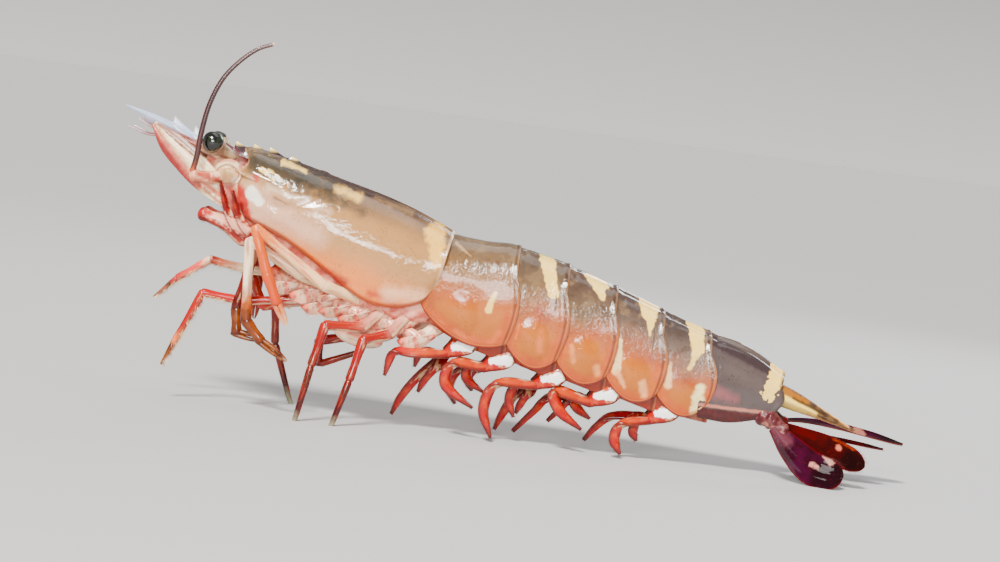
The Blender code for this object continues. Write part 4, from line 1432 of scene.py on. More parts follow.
@dataclass
class Rostrum:
    """The toothed beak over the eyes, which runs on as a ridge along the back."""

    stations: Table = (
        (0, 0.3, -0.3, 0.25), (12, 1.2, -1.6, 0.6), (22, 1, -3.2, 0.9), (32, 0.6, -4.2, 1.1),
        (40, 1.2, -4.6, 1.6), (46, 2.2, -4.2, 2), (52, 3.8, -3.5, 2.4), (60, 5.4, -1.8, 2.2),
        (70, 6.4, 0.6, 1.9), (80, 6.8, 2.6, 1.6), (90, 6.6, 4, 1.2),
    )
    upper_teeth: Values = (20, 28.5, 37, 44.8, 51.3, 57.2)
    blunt_teeth: tuple[Flat, ...] = ((66, 0.9), (78.5, 0.5), (84, 0.4))
    lower_teeth: Values = (9.5, 15, 21.5)
    tooth_length: float = 7.5
    tooth_height: float = 2.6
    rows: int = 300
    columns: int = 20

    def tooth(self, s: float, tips: Sequence[float]) -> float:
        """How much of a tooth stands at s: 1 at its tip, which leans forward.

        Args:
            s: how far along the body.
            tips: where the teeth end.

        Returns:
            The share of a full tooth.
        """
        best = 0
        for tip in tips:
            back = s - (tip - 0.6)
            if 0 <= back <= self.tooth_length:
                best = max(best, (1 - back / self.tooth_length) ** 1.35)
            elif -0.9 < back < 0:
                best = max(best, 1 + back / 0.9)
        return best

    def build(self) -> None:
        """Makes the beak."""
        rings: list[Ring] = []
        crest: list[list[float]] = []
        last = self.stations[-1][0]
        for i in range(self.rows + 1):
            s = last * i / self.rows
            upper, lower, half = eased(self.stations, s)
            up = self.tooth(s, self.upper_teeth)
            down = self.tooth(s, self.lower_teeth)
            up = max([up] + [high * gauss(s - place, 2.6) for place, high in self.blunt_teeth])
            high = upper + up * self.tooth_height * (1 if s < 62 else 0.5)
            low = lower - down * self.tooth_height * 0.7
            middle = 0.5 * (upper + lower)
            ring = []
            values = []
            for k in range(self.columns):
                angle = 2 * math.pi * k / self.columns
                rise = math.cos(angle)
                reach = high - middle if rise > 0 else middle - low
                blade = 1 - 0.75 * max(rise, 0) ** 0.5 * min(1, up * 1.6 + 0.35)
                blade *= 1 - 0.6 * max(-rise, 0) ** 0.5
                y = half * math.sin(angle) * max(blade, 0.12)
                h = middle + reach * rise
                lean = -1.1 * up * max(rise, 0) ** 2
                ring.append(PLACE.on_body(s + lean, h, y))
                values.append(max(0, rise) ** 2 * up)
            rings.append(ring)
            crest.append(values)
        piece = BENCH.rolled("rostrum_blade", rings, marks={"crest": crest})
        BENCH.done(piece, RostrumFinish().material(), "shell_brown", ["carapace"])


@dataclass
class Abdomen:
    """The six rings behind the head shield, each sliding under the one before."""

    stations: Table = (
        (127, 0.05, 5, -24, 14.6, -27), (131, 0.08, 5.4, -27, 15, -29),
        (146, 0.18, 8, -29.5, 15.6, -31.5), (161, 0.26, 11.2, -29, 15.4, -31),
        (181, 0.26, 12.2, -27.4, 14.6, -29.5), (200.6, 0.27, 11.6, -25.4, 13.4, -27.5),
        (220.5, 0.30, 10.4, -24, 11.8, -25.5), (240.6, 0.36, 9.8, -20, 9.6, -21.5),
        (254, 0.25, 10.4, -15.6, 8.4, -17), (266, 0.05, 6.6, -9.6, 6.8, -11),
    )
    ends: Values = (127, 161, 181, 200.6, 220.5, 240.6, 266)
    overlap: float = 4
    flare: float = 0.7
    lobes: Values = (8, 9, 9, 9, 9.5, 1.5)
    sweep: float = 2.6
    keels: Values = (0, 0, 0.3, 0.7, 0.9, 1)
    rows: int = 44
    rim_heights: Values = (34, 29.5, 26, 20.5, 14.5)
    bands: tuple[tuple[Marking, ...], ...] = (
        (
            Marking((72.8, 55.5), (71, 49), 0.6, 1.4, CREAM, 0.4, 1, 0.5),
            Marking((56, 71.5), (62, 67.5), 0.5, 0.3, (214, 192, 160), 0.4, 0.6, 0.4),
            Marking((49, 53), (49.5, 48), 2.4, 2, (214, 128, 84), 1.2, 0.7, 0.8),
            Marking((76, 41), (73.5, 37), 0.9, 1.4, (240, 170, 124), 1.2, 0.6, 0.9),
            Marking((60, 40), (63, 37.6), 0.8, 1.2, (240, 178, 132), 1.2, 0.6, 0.9),
        ),
        (
            Marking((89.3, 73), (94.2, 58), 2.9, 1.9, CREAM, 0.35, 1, 1),
            Marking((91, 44), (91.5, 36.5), 0.8, 1.2, (236, 176, 138), 1.2, 0.6, 1.2),
            Marking((83, 45), (82.4, 40), 0.3, 0.4, (246, 196, 150), 0.5, 0.6, 0.6),
        ),
        (
            Marking((108.5, 69), (110.8, 62.5), 4.4, 3, CREAM, 0.35, 1, 1.3),
            Marking((110.8, 62), (112.4, 58.4), 2.6, 1, CREAM, 0.35, 1, 0.9),
            Marking((103, 40), (104.6, 34), 0.5, 0.9, (246, 200, 158), 0.8, 0.65, 0.9),
            Marking((113.5, 33), (114.2, 30.5), 1.1, 0.9, (250, 206, 164), 0.9, 0.8, 0.9),
        ),
        (
            Marking((130.2, 60.5), (130.4, 55), 4.4, 3.3, CREAM, 0.35, 1, 1.6),
            Marking((130.8, 54.5), (131.4, 47.5), 2, 0.5, CREAM, 0.35, 0.95, 0.9),
            Marking((120.8, 44), (120.9, 33), 0.7, 1.5, (253, 232, 204), 0.5, 0.95, 0.7),
            Marking((121.5, 32), (124.5, 27), 1.1, 0.6, (250, 212, 180), 0.6, 0.8, 0.7),
            Marking((131, 29), (132.5, 24.5), 1.5, 1.1, (250, 214, 184), 0.9, 0.8, 0.8),
        ),
        (
            Marking((148.3, 53.5), (149.6, 44), 3.2, 2.2, CREAM, 0.35, 1, 1.4),
            Marking((149.6, 43), (147.8, 37), 1.7, 0.8, CREAM, 0.5, 0.9, 1),
            Marking((140.4, 38), (140.6, 30), 0.6, 1.5, (253, 226, 198), 0.6, 0.9, 0.7),
            Marking((152.6, 30), (152.2, 20), 1.8, 2.7, (251, 236, 210), 0.9, 1, 1.6),
        ),
    )
    greys: tuple[Colour, ...] = (
        (194, 146, 88), (176, 143, 106), (168, 140, 112), (166, 143, 126), (170, 150, 136),
    )
    backs: tuple[Colour, ...] = (
        (158, 132, 106), (140, 118, 100), (132, 108, 96), (124, 104, 98), (118, 102, 98),
    )
    form: ShellForm = field(default_factory=ShellForm)

    def build(self) -> None:
        """Makes the six rings."""
        for index in range(6):
            self.somite(index)

    def relief(self, index: int, start: float, end: float) -> Relief:
        """The grooves, beads and bosses of one ring.

        Args:
            index: which ring it is, from 0.
            start: where it comes out from under the one before.
            end: its rear edge.

        Returns:
            How far its surface stands out at s, h and y.
        """
        boss_s = start + 0.46 * (end - start)
        boss_h = self.stations[2][3] + 9 + index * 1.5
        uneven = lumps(0.16, 6.5, index * 3.7)

        def stand(s: float, h: float, y: float) -> float:
            """How far the surface stands out at one place.

            Args:
                s: how far along the body.
                h: how far towards the back.
                y: how far to the side.

            Returns:
                The height, outwards, in millimetres.
            """
            rise = uneven(s, h, y)
            rise += 0.1 * gauss(end - s - 0.7, 0.7)
            rise -= 0.14 * gauss(end - s - 2.3, 0.8)
            rise -= 0.18 * gauss(s - start - 2.6, 0.9)
            if index < 5:
                off = math.hypot((s - boss_s) / 5.5, (h - boss_h) / 7.5)
                rise += 0.75 * gauss(off, 0.8) - 0.35 * gauss(off - 1.2, 0.28)
            return rise
        return stand

    def somite(self, index: int) -> None:
        """Makes one ring.

        Args:
            index: which ring, 0 for the first.
        """
        start, end = self.ends[index], self.ends[index + 1]
        first = start - (self.overlap if index else 0)
        relief = self.relief(index, start, end)
        rings: list[Ring] = []
        marks: dict[str, list[list[float]]] = {"rim": [], "rear": [], "edge": []}

        def add(s: float, size: float = 1, shift: float = 0) -> None:
            """Adds one section.

            Args:
                s: where it lies along the body.
                size: its share of the full size.
                shift: how far it is pushed tailwards.
            """
            part = min(max((s - start) / (end - start), 0), 1)
            lean, top, rim, half_width, belly = eased(self.stations, s)
            lobe = self.lobes[index] * (1 - math.sin(math.pi * (0.08 + 0.84 * part)) ** 0.7)
            flare = self.flare * (part ** 3 - 0.5)
            row = (lean, top + flare, rim + lobe, half_width + flare)

            def push(h: float, down: float) -> float:
                """The side plate's rounded rear edge."""
                low = min(max((down - 0.3) / 0.7, 0), 1)
                return shift + self.sweep * part ** 2 * math.sin(math.pi * low ** 0.8)

            under = belly + 1.2 * (1 - part)
            ring, over = self.form.ring(s, row, under, self.keels[index], relief, push, size)
            rings.append(ring)
            marks["rim"].append(over)
            marks["rear"].append([end - s] * len(ring))
            tall = row[1] - row[2]
            high = [max(0, height - 0.42 * tall) for height in over]
            marks["edge"].append([
                min(height, end - s + up, max(s - start, 0) + up) for height, up in zip(over, high)
            ])

        for i in range(self.rows):
            add(first + (end - first) * i / (self.rows - 1))
        add(end, 0.985, 0.25)
        add(end, 0.96, 0.1)
        add(end, 0.94, -1.5)
        piece = BENCH.rolled(f"somite_{index + 1}", rings, marks=marks)
        if index < 5:
            finish = SomiteFinish(
                index + 1, self.rim_heights[index], self.greys[index], self.backs[index],
                markings=self.bands[index],
            ).material()
        else:
            finish = LastSomiteFinish().material()
        BENCH.done(piece, finish, "shell_brown", [f"abdomen_{index + 1}"])


@dataclass
class Flesh:
    """One soft skin from the front of the head to the underside of the thorax."""

    stations: Table = (
        (36.5, 0.3, -3.5, -10.5, 3, -10.8), (40, 0.3, -2, -14, 6, -14.6),
        (46, 0.3, -0.5, -17.5, 8.2, -18.5), (54, 0.3, 0, -20, 9, -22),
        (62, 0.3, -4, -21.8, 8.6, -24.4), (70, 0.2, -12, -24.5, 8.8, -27),
        (84, 0.2, -15, -28.5, 10.6, -31), (98, 0.1, -17, -31, 12, -33.5),
        (112, 0.1, -17, -31.5, 12.4, -34), (126, 0.1, -14, -29.5, 12, -32),
        (134, 0.1, -12, -26, 11, -28.5),
    )
    rows: int = 110

    def build(self) -> None:
        """Makes the skin."""
        first, last = self.stations[0][0], self.stations[-1][0]
        uneven = lumps(0.55, 3.4, 11)
        rings = []
        for i in range(self.rows):
            s = first + (last - first) * i / (self.rows - 1)
            lean, top, rim, half_width, belly = eased(self.stations, s)
            tall = top - rim
            half = [
                (0, top), (0.7 * half_width, top - 0.12 * tall), (half_width, top - 0.5 * tall),
                (0.93 * half_width, rim), (0.55 * half_width, belly + 0.4),
            ]
            outline = half + [(0, belly)] + [(-y, h) for y, h in reversed(half[1:])]
            ring = []
            for y, h in curve_through(outline, 6, closed=True):
                folds = 0.5 * math.sin(s * 0.75) * gauss(h - rim, 5) if s > 62 else 0
                size = 1 + (uneven(s, h, y) + folds) / 14
                ring.append(PLACE.on_body(s - lean * (h + 8), h, y * size))
            rings.append(ring)
        piece = BENCH.rolled("head_and_thorax_skin", rings)
        finish = PatchedFinish(
            "flesh", (240, 204, 192), (226, 146, 130),
            (
                Marking((-30, 84), (-24, 66), 2.6, 2.4, (214, 84, 66), 2, 0.7, 2),
                Marking((-34, 88), (-26, 84), 3, 3, (226, 210, 190), 2, 0.9, 1.4),
                Marking((-34, 94), (-26, 93), 2.6, 3.4, (122, 44, 42), 1.4, 0.9, 1.4),
                Marking((0, 50), (24, 42), 1.8, 1.8, (206, 66, 58), 2.2, 0.75, 3),
            ),
            cloud=4, wrinkle=0.3, gloss=Gloss(roughness=0.42, coat=0.1, specular=0.3, subsurface=0.1),
        )
        BENCH.done(piece, finish.material(), "flesh_pink", ["head", "thorax"])


# Limbs and feelers


@dataclass(frozen=True)
class RodForm:
    """The outline of one joint of a limb along its length: share of the way, share of the radius."""

    profile: tuple[Flat, ...] = (
        (0.06, 1.02), (0.15, 1.03), (0.3, 1), (0.5, 0.92), (0.7, 0.93), (0.84, 1.04), (0.94, 1.08),
    )
    cap: float = 0.75
    cap_steps: Values = (0.03, 0.14, 0.34, 0.62, 1)
    columns: int = 20
    flatness: float = 0.9

    def build(
        self, start: Vector, end: Vector, radii: Flat, along: Flat, overlap: float = 0.6
    ) -> Piece:
        """Makes one joint.

        Args:
            start: its near end, in millimetres over the floor.
            end: its far end.
            radii: its radius at each end.
            along: its stretch of the limb, from 0 to 1.
            overlap: how many radii it reaches past both ends.

        Returns:
            The joint.
        """
        way = (end - start).normalized()
        side = SIDEWAYS if abs(way.y) < 0.9 else UP
        a = start - way * radii[0] * overlap
        b = end + way * radii[1] * overlap
        rings = []
        marks = []
        length = (b - a).length
        near = min(self.cap * radii[0] / length, 0.25)
        far = min(self.cap * radii[1] / length, 0.25)
        round_end = [(q, math.sqrt(1 - (1 - q) ** 2)) for q in self.cap_steps]
        stations = [(near * q, share) for q, share in round_end]
        stations += [(near + (1 - near - far) * t, share) for t, share in self.profile]
        stations += [(1 - far * q, self.profile[-1][1] * share) for q, share in reversed(round_end)]
        for t, share in stations:
            radius = (radii[0] + (radii[1] - radii[0]) * t) * share
            centre = PLACE.at(*a.lerp(b, t))
            rings.append(ring_round(centre, way, radius * self.flatness, radius, self.columns, side))
            marks.append(along[0] + (along[1] - along[0]) * t)
        return BENCH.rolled("rod", rings, marks)


@dataclass
class Limb:
    """A jointed limb, from the body to its tip."""

    name: str
    nodes: tuple[str, ...]
    joints: tuple[Point, ...]
    finish: LimbFinish
    radii: Values = (2.7, 2.1, 1.9, 1.6, 1.5)
    clawed: bool = False
    toe_radii: Flat = (1.4, 1.1)
    stands: bool = False
    finger_spread: float = 0.8
    finger_share: float = 0.64
    rod: RodForm = field(default_factory=RodForm)

    def length_marks(self) -> list[float]:
        """The share of the whole length at each joint.

        Returns:
            The shares, from 0 at the root to 1 at the tip.
        """
        marks = [0]
        for a, b in zip(self.joints, self.joints[1:]):
            marks.append(marks[-1] + (Vector(b) - Vector(a)).length)
        return [mark / marks[-1] for mark in marks]

    def build(self) -> None:
        """Makes the limb as one piece."""
        marks = self.length_marks()
        parts = []
        for i in range(len(self.joints) - 2):
            radius = self.radii[min(i, len(self.radii) - 1)]
            after = self.radii[min(i + 1, len(self.radii) - 1)] * 0.92
            stretch = (marks[i], marks[i + 1])
            parts.append(
                self.rod.build(Vector(self.joints[i]), Vector(self.joints[i + 1]), (radius, after), stretch),
            )
        parts += self.claw(marks) if self.clawed else [self.toe(marks)]
        piece = BENCH.joined(self.name, parts)
        BENCH.done(piece, self.finish.material(), "leg_orange", self.nodes)

    def toe(self, marks: Sequence[float]) -> Piece:
        """The single pointed joint at the end, with a flat where it stands.

        Args:
            marks: the share of the length at each joint.

        Returns:
            The toe.
        """
        start, end = Vector(self.joints[-2]), Vector(self.joints[-1])
        way = (end - start).normalized()
        rings = []
        along = []
        thick, thin = self.toe_radii
        for t, share in ((0, 0.5), (0.02, 0.8), (0.07, 1), (0.3, 1.04), (0.6, 0.98), (0.85, 0.95), (1, 0.9)):
            radius = (thick + (thin - thick) * t) * share
            ring = ring_round(PLACE.at(*start.lerp(end, t)), way, radius, radius, self.rod.columns, SIDEWAYS)
            if self.stands:
                ring = [Vector((p.x, p.y, max(p.z, 0))) for p in ring]
            rings.append(ring)
            along.append(marks[-2] + (1 - marks[-2]) * t)
        if not self.stands:
            tip = PLACE.at(*(end + way * thin * 0.8))
            rings.append(ring_round(tip, way, thin * 0.4, thin * 0.4, self.rod.columns, SIDEWAYS))
            along.append(1)
        return BENCH.rolled("toe", rings, along)

    def claw(self, marks: Sequence[float]) -> list[Piece]:
        """Two thin curved fingers that close on each other.

        Args:
            marks: the share of the length at each joint.

        Returns:
            The fingers.
        """
        knuckle, tip = Vector(self.joints[-2]), Vector(self.joints[-1])
        way = (tip - knuckle).normalized()
        apart = way.cross(SIDEWAYS).normalized()
        radius = self.radii[-1]
        fingers = []
        for side in (-1, 1):
            guides = [
                knuckle - way * radius + apart * side * self.finger_spread * 0.8,
                knuckle.lerp(tip, 0.35) + apart * side * self.finger_spread * 1.1,
                knuckle.lerp(tip, 0.75) + apart * side * self.finger_spread * 0.85,
                tip + apart * side * self.finger_spread * 0.3,
            ]
            path = curve_through(guides, 4)
            rings = []
            for i, place in enumerate(path):
                t = i / (len(path) - 1)
                here = heading(path, i)
                size = radius * self.finger_share * (1 - t ** 1.6 * 0.84) * (0.6 if i == 0 else 1)
                rings.append(ring_round(PLACE.at(*place), here, size, size * 0.8, 12, SIDEWAYS))
            along = [marks[-2] + (1 - marks[-2]) * i / (len(path) - 1) for i in range(len(path))]
            fingers.append(BENCH.rolled("finger", rings, along))
        return fingers


AMBER = (176, 94, 44)
LEG_WHITE = (250, 226, 210)
LEG_ORANGE = (246, 136, 34)
LEG_RED = (222, 40, 10)
LEG_MAROON = (122, 26, 34)


@dataclass
class WalkingLegs:
    """The ten walking legs: the first three pairs with small claws, the last two pointed."""

    left: tuple[tuple[Point, ...], ...] = (
        ((5, -7, 49), (-6, -9.5, 55.5), (-17.2, -10.5, 61),
         (-21.5, -11, 37), (-20.3, -11.5, 28), (-10, -12, 26.3)),
        ((15.5, -7, 47.5), (1, -15.2, 52.5), (-19.3, -16, 62.8),
         (-17, -16.5, 33.5), (-10.5, -16.5, 26.5), (0, -17, 20.5)),
        ((24.6, -7.5, 45.5), (10, -18.2, 50), (-17.3, -21.8, 68),
         (-11, -22, 52), (-6, -22, 41.5), (-1.5, -22, 34)),
        ((34, -6.5, 44.5), (26, -16.5, 36.5), (12.5, -21.5, 36), (9.5, -23.5, 21), (6, -25, -0.6)),
        ((42.5, -6.5, 44), (36, -15.5, 35), (27, -21, 32.5), (24, -23.5, 17.5), (19.5, -25.5, -0.6)),
    )
    right: tuple[tuple[Point, ...], ...] = (
        ((5, 7, 49), (6, 10, 42.5), (-14, 13.5, 37), (-19, 13.5, 47), (-19.5, 12.8, 53.5), (-18.5, 12.3, 61)),
        ((14.5, 10.5, 45.5), (1, 15.2, 52.5), (-18, 17.3, 62),
         (-17.5, 17.5, 46.5), (-17, 17.5, 39.5), (-17, 17, 31.5)),
        ((23.4, 12.5, 43), (10, 18.2, 50), (-14, 21.5, 66), (-10, 20, 52.5), (-7, 18.5, 44), (-4, 17.5, 37)),
        ((32.2, 11.5, 41), (22, 18, 37.5), (-10.5, 24, 41.5), (-8.5, 25, 23), (0.5, 26.5, -0.6)),
        ((40.5, 10.5, 40.5), (33.5, 15, 33), (8.5, 18, 26.5), (9.5, 18, 17.5), (25, 18, 24.5)),
    )
    streak: Colour = (214, 92, 66)
    streaks: dict[str, Colour] = field(default_factory=lambda: {
        "leg_1_L": (150, 72, 44), "leg_2_L": (176, 92, 62), "leg_3_L": (236, 144, 92),
    })
    clawed: int = 3
    hairs_per_mm: float = 3
    bare_height: float = 3
    claw_radii: Values = (2.7, 2.1, 1.85, 2.15, 2)
    toe_radii: Values = (2.7, 2.1, 1.9, 1.6, 1.5)
    split: tuple[str, ...] = ("leg_4_L", "leg_5_L", "leg_4_R")
    stops: dict[str, Stops] = field(default_factory=lambda: {
        "leg_1_L": ((0, LEG_WHITE), (0.3, (248, 222, 200)), (0.5, (196, 76, 52)), (0.66, (150, 56, 40)),
                    (0.72, (128, 62, 36)), (0.78, (192, 112, 54)), (0.84, (132, 66, 36)),
                    (0.91, (196, 120, 60)),
                    (0.95, (120, 60, 34)), (1, (214, 160, 108))),
        "leg_2_L": ((0, LEG_WHITE), (0.35, (250, 224, 206)), (0.6, (250, 232, 220)), (0.68, (226, 150, 96)),
                    (0.72, AMBER), (0.76, (130, 64, 36)), (0.82, (196, 116, 56)), (0.87, (136, 68, 36)),
                    (0.92, (198, 124, 62)), (0.95, (124, 62, 36)), (1, (216, 164, 112))),
        "leg_3_L": ((0, (250, 228, 208)), (0.42, (252, 222, 198)), (0.52, (248, 186, 134)),
                    (0.64, (248, 160, 84)), (0.9, (246, 132, 50)), (1, (248, 218, 186))),
        "leg_4_L": ((0, PALE_PINK), (0.3, (222, 96, 74)), (0.5, LEG_RED), (0.7, (150, 70, 44)),
                    (0.92, LEG_MAROON), (1, (182, 180, 156))),
        "leg_5_L": ((0, PALE_PINK), (0.3, (216, 84, 66)), (0.55, LEG_RED), (0.75, (142, 62, 40)),
                    (0.92, LEG_MAROON), (1, (182, 180, 156))),
        "leg_1_R": ((0, PALE_PINK), (0.4, (232, 110, 86)), (0.8, (214, 80, 60)), (1, AMBER)),
        "leg_2_R": ((0, LEG_WHITE), (0.5, (240, 160, 130)), (0.85, (226, 96, 60)), (1, AMBER)),
        "leg_3_R": ((0, LEG_WHITE), (0.5, (240, 150, 112)), (0.85, LEG_ORANGE), (1, (236, 206, 184))),
        "leg_4_R": ((0, PALE_PINK), (0.35, (224, 84, 70)), (0.55, LEG_RED), (0.72, (150, 72, 46)),
                    (0.9, LEG_MAROON), (1, (176, 178, 154))),
        "leg_5_R": ((0, (232, 140, 128)), (0.45, (200, 62, 56)), (0.66, LEG_MAROON),
                    (0.8, (196, 78, 52)), (1, (170, 92, 58))),
    })

    def build(self) -> None:
        """Makes all ten legs, with their hairs."""
        draw = random.Random(71)
        for letter, legs in (("L", self.left), ("R", self.right)):
            fringe = Fringe(f"leg_hairs_{letter}", Seta.FINE)
            for i, joints in enumerate(legs):
                self.plant(fringe, draw, joints, i)
                name = f"leg_{i + 1}_{letter}"
                nodes = (f"{name}_thigh", f"{name}_shin") if name in self.split else (name,)
                finish = LimbFinish(
                    f"{name}_shell", self.stops[name], streak=self.streaks.get(name, self.streak),
                )
                clawed = i < self.clawed
                Limb(
                    f"walking_{name}", nodes, joints, finish, clawed=clawed, stands=joints[-1][2] < 0,
                    radii=self.claw_radii if clawed else self.toe_radii,
                ).build()
            hair = SetaFinish(f"leg_hair_{letter}", (226, 176, 150), (190, 98, 74)).material()
            fringe.build(hair, "leg_orange")

    def plant(self, fringe: Fringe, draw: random.Random, joints: Sequence[Point], index: int) -> None:
        """Sets sparse hairs round the outer joints of one leg.

        Args:
            fringe: takes the hairs.
            draw: the random draws.
            joints: the leg's joints, in millimetres over the floor.
            index: which leg it is, from 0.
        """
        for i in range(1, len(joints) - 1):
            start, end = Vector(joints[i]), Vector(joints[i + 1])
            way = (end - start).normalized()
            side = way.cross(SIDEWAYS).normalized()
            for _ in range(int((end - start).length * self.hairs_per_mm)):
                t = draw.uniform(0.05, 0.95)
                turn = draw.uniform(0, 2 * math.pi)
                out = side * math.cos(turn) + way.cross(side) * math.sin(turn)
                root = start.lerp(end, t) + out * self.toe_radii[min(i, 4)] * 0.84
                if root.z > self.bare_height:
                    place = ((i + t) / 6, (index + turn / 7) / 6)
                    fringe.add(PLACE.at(*root), out + way * 0.9, draw.uniform(0.35, 0.9), place)


@dataclass
class LegBases:
    """The crowded short joints and flaps under the thorax, where the walking legs start."""

    roots: tuple[Flat, ...] = (
        (-1, 49), (6, 47), (12.5, 44.6), (19, 42.6), (26, 41), (33, 39.6), (40.5, 38.8), (48, 37),
    )
    reach: float = 9.6
    radius: float = 3
    uneven: float = 1.2
    flap_widths: Values = (1, 2.5, 2.8, 1.3)
    pouch: Point = (24, 9.6, 33.6)
    pouch_size: Point = (9.6, 4.8, 4.9)
    rod: RodForm = field(default_factory=RodForm)

    def build(self) -> None:
        """Makes the bases of both sides, with their hairs."""
        draw = random.Random(83)
        stops = ((0, (232, 140, 128)), (0.12, (244, 206, 192)), (0.3, (250, 232, 220)),
                 (0.48, (240, 172, 156)), (0.54, (250, 228, 214)), (0.8, (244, 196, 178)),
                 (0.93, (236, 150, 134)), (1, (214, 96, 86)))
        for letter, side in SIDES:
            fringe = Fringe(f"leg_base_hairs_{letter}", Seta.FINE)
            form = BladeForm(columns=20, edge=0.2, rib=0.2, rib_width=0.3)
            parts = [self.lobe(side)]
            for number, root in enumerate(self.roots):
                x = root[0] + draw.uniform(-self.uneven, self.uneven)
                z = root[1] + draw.uniform(-self.uneven, self.uneven)
                y = side * self.reach
                radius = self.radius * draw.uniform(0.86, 1.12)
                top = Vector((x + 5, y * 0.66, z + 4))
                knee = Vector((x - 2.4, y, z - 1.6))
                parts.append(self.rod.build(top, knee, (radius, radius * 0.92), (0, 0.5)))
                tucked = Vector((x - 9.8, y * 0.8, z + 2.6 + draw.uniform(-self.uneven, self.uneven)))
                parts.append(self.rod.build(knee, tucked, (radius * 0.86, radius * 0.7), (0.5, 1)))
                droop = draw.uniform(0, 1.6)
                path = curve_through((
                    (x + 3.4, y * 0.98, z + 0.4), (x - 1.4, y * 1.14, z - 2.4),
                    (x - 6, y * 1.2, z - 3.2 - droop),
                    (x - 10.2, y * 1.14, z - 2.4 - 1.5 * droop),
                ), 6)
                widths = paddle(spread_values(self.flap_widths, len(path)), 0.6)
                lie = Vector((0.3, side * draw.uniform(0.1, 0.7), 0.9))
                parts.append(form.build("flap", path, widths, [0.5] * len(path), lie))
                for i in range(4, len(path) - 1):
                    for edge in (-1, 1):
                        for _ in range(4):
                            off = Vector((0, 0, edge * widths[i] * 0.85))
                            root = path[i].lerp(path[i + 1], draw.random()) + off
                            way = Vector((-0.8, side * draw.uniform(0, 0.6), edge * 0.7))
                            place = ((number + i / len(path)) / 6, 0.5 + 0.2 * edge)
                            fringe.add(PLACE.at(*root), way, draw.uniform(0.6, 1.5), place)
            piece = BENCH.joined(f"leg_bases_{letter}", parts)
            finish = LimbFinish(f"leg_bases_{letter}_shell", stops, streak=(208, 52, 48), streak_strength=0.6)
            BENCH.done(piece, finish.material(), "flesh_pink", ["thorax"])
            hair = SetaFinish(f"leg_base_hair_{letter}", (244, 214, 200), (206, 96, 84)).material()
            fringe.build(hair, "flesh_pink")

    def lobe(self, side: int) -> Piece:
        """The smooth pink lobe that hangs between the legs."""
        presses = (((-0.8, 0, 0.6), -0.16, 0.5), ((0.5, side, 0.2), -0.1, 0.35), ((0.9, 0, -0.3), 0.08, 0.5))
        return BENCH.lump("lobe", mirrored([self.pouch], side)[0], self.pouch_size, presses, math.radians(12))


@dataclass
class ThirdMaxillipeds:
    """The long bristly feelers under the mouth."""

    joints: dict[str, tuple[Point, ...]] = field(default_factory=lambda: {
        "L": ((-3, -3.6, 53), (2.5, -3.6, 43), (-20, -5.2, 39.5),
              (-35, -6.8, 40.8), (-43.5, -7.5, 20.5), (-47, -8, 12.5)),
        "R": ((0, 5, 53), (-5, 7, 50.5), (-20, 8.2, 50.4),
              (-35.5, 9.5, 52.3), (-47, 10.5, 43.8), (-55, 11, 35.5)),
    })
    stops: dict[str, Stops] = field(default_factory=lambda: {
        "L": ((0, PALE_PINK), (0.25, (222, 84, 66)), (0.45, (236, 92, 50)), (0.6, (230, 74, 36)),
              (0.8, (216, 84, 50)), (0.86, (236, 180, 140)), (0.9, (150, 74, 40)),
              (1, (196, 132, 74))),
        "R": ((0, PALE_PINK), (0.2, LEG_WHITE), (0.36, (250, 236, 220)), (0.5, (244, 176, 146)),
              (0.56, (222, 84, 56)), (0.6, (250, 232, 216)), (0.66, (236, 150, 140)),
              (0.84, (222, 96, 96)), (0.87, (120, 92, 72)), (0.92, (196, 128, 104)),
              (1, (176, 120, 92))),
    })
    radii: Values = (2.7, 1.8, 1.7, 1.6, 1.3)

    def build(self) -> None:
        """Makes both limbs and their bristles."""
        draw = random.Random(31)
        for letter, _ in SIDES:
            name = f"maxilliped_3_{letter}"
            Limb(
                f"third_{name}", (f"{name}_thigh", f"{name}_shin"), self.joints[letter],
                LimbFinish(f"{name}_shell", self.stops[letter], streak_strength=0.35),
                radii=self.radii, toe_radii=(1.15, 0.4),
            ).build()
            fringe = Fringe(f"bristles_{name}", Seta.STOUT)
            joints = [Vector(p) for p in self.joints[letter]]
            for i in range(2, 5):
                start, end = joints[i], joints[i + 1]
                way = (end - start).normalized()
                down = way.cross(SIDEWAYS).normalized()
                down = down if down.z < 0 else -down
                count = int((end - start).length * 14)
                for k in range(count):
                    t = (k + draw.random()) / count
                    turn = draw.uniform(-1.3, 1.3)
                    out = (down * math.cos(turn) + SIDEWAYS * math.sin(turn)).normalized()
                    radius = self.radii[min(i, 4)] * (0.8 if i < 4 else 0.8 - 0.5 * t)
                    root = start.lerp(end, t) + out * radius * 0.8
                    place = ((i + t) / 6, 0.5 + turn / 6)
                    fringe.add(PLACE.at(*root), out + way * 0.7, draw.uniform(1.1, 2.6), place)
            hair = SetaFinish(f"bristle_{name}", (206, 160, 128), (240, 222, 202)).material()
            fringe.build(hair, "leg_orange")


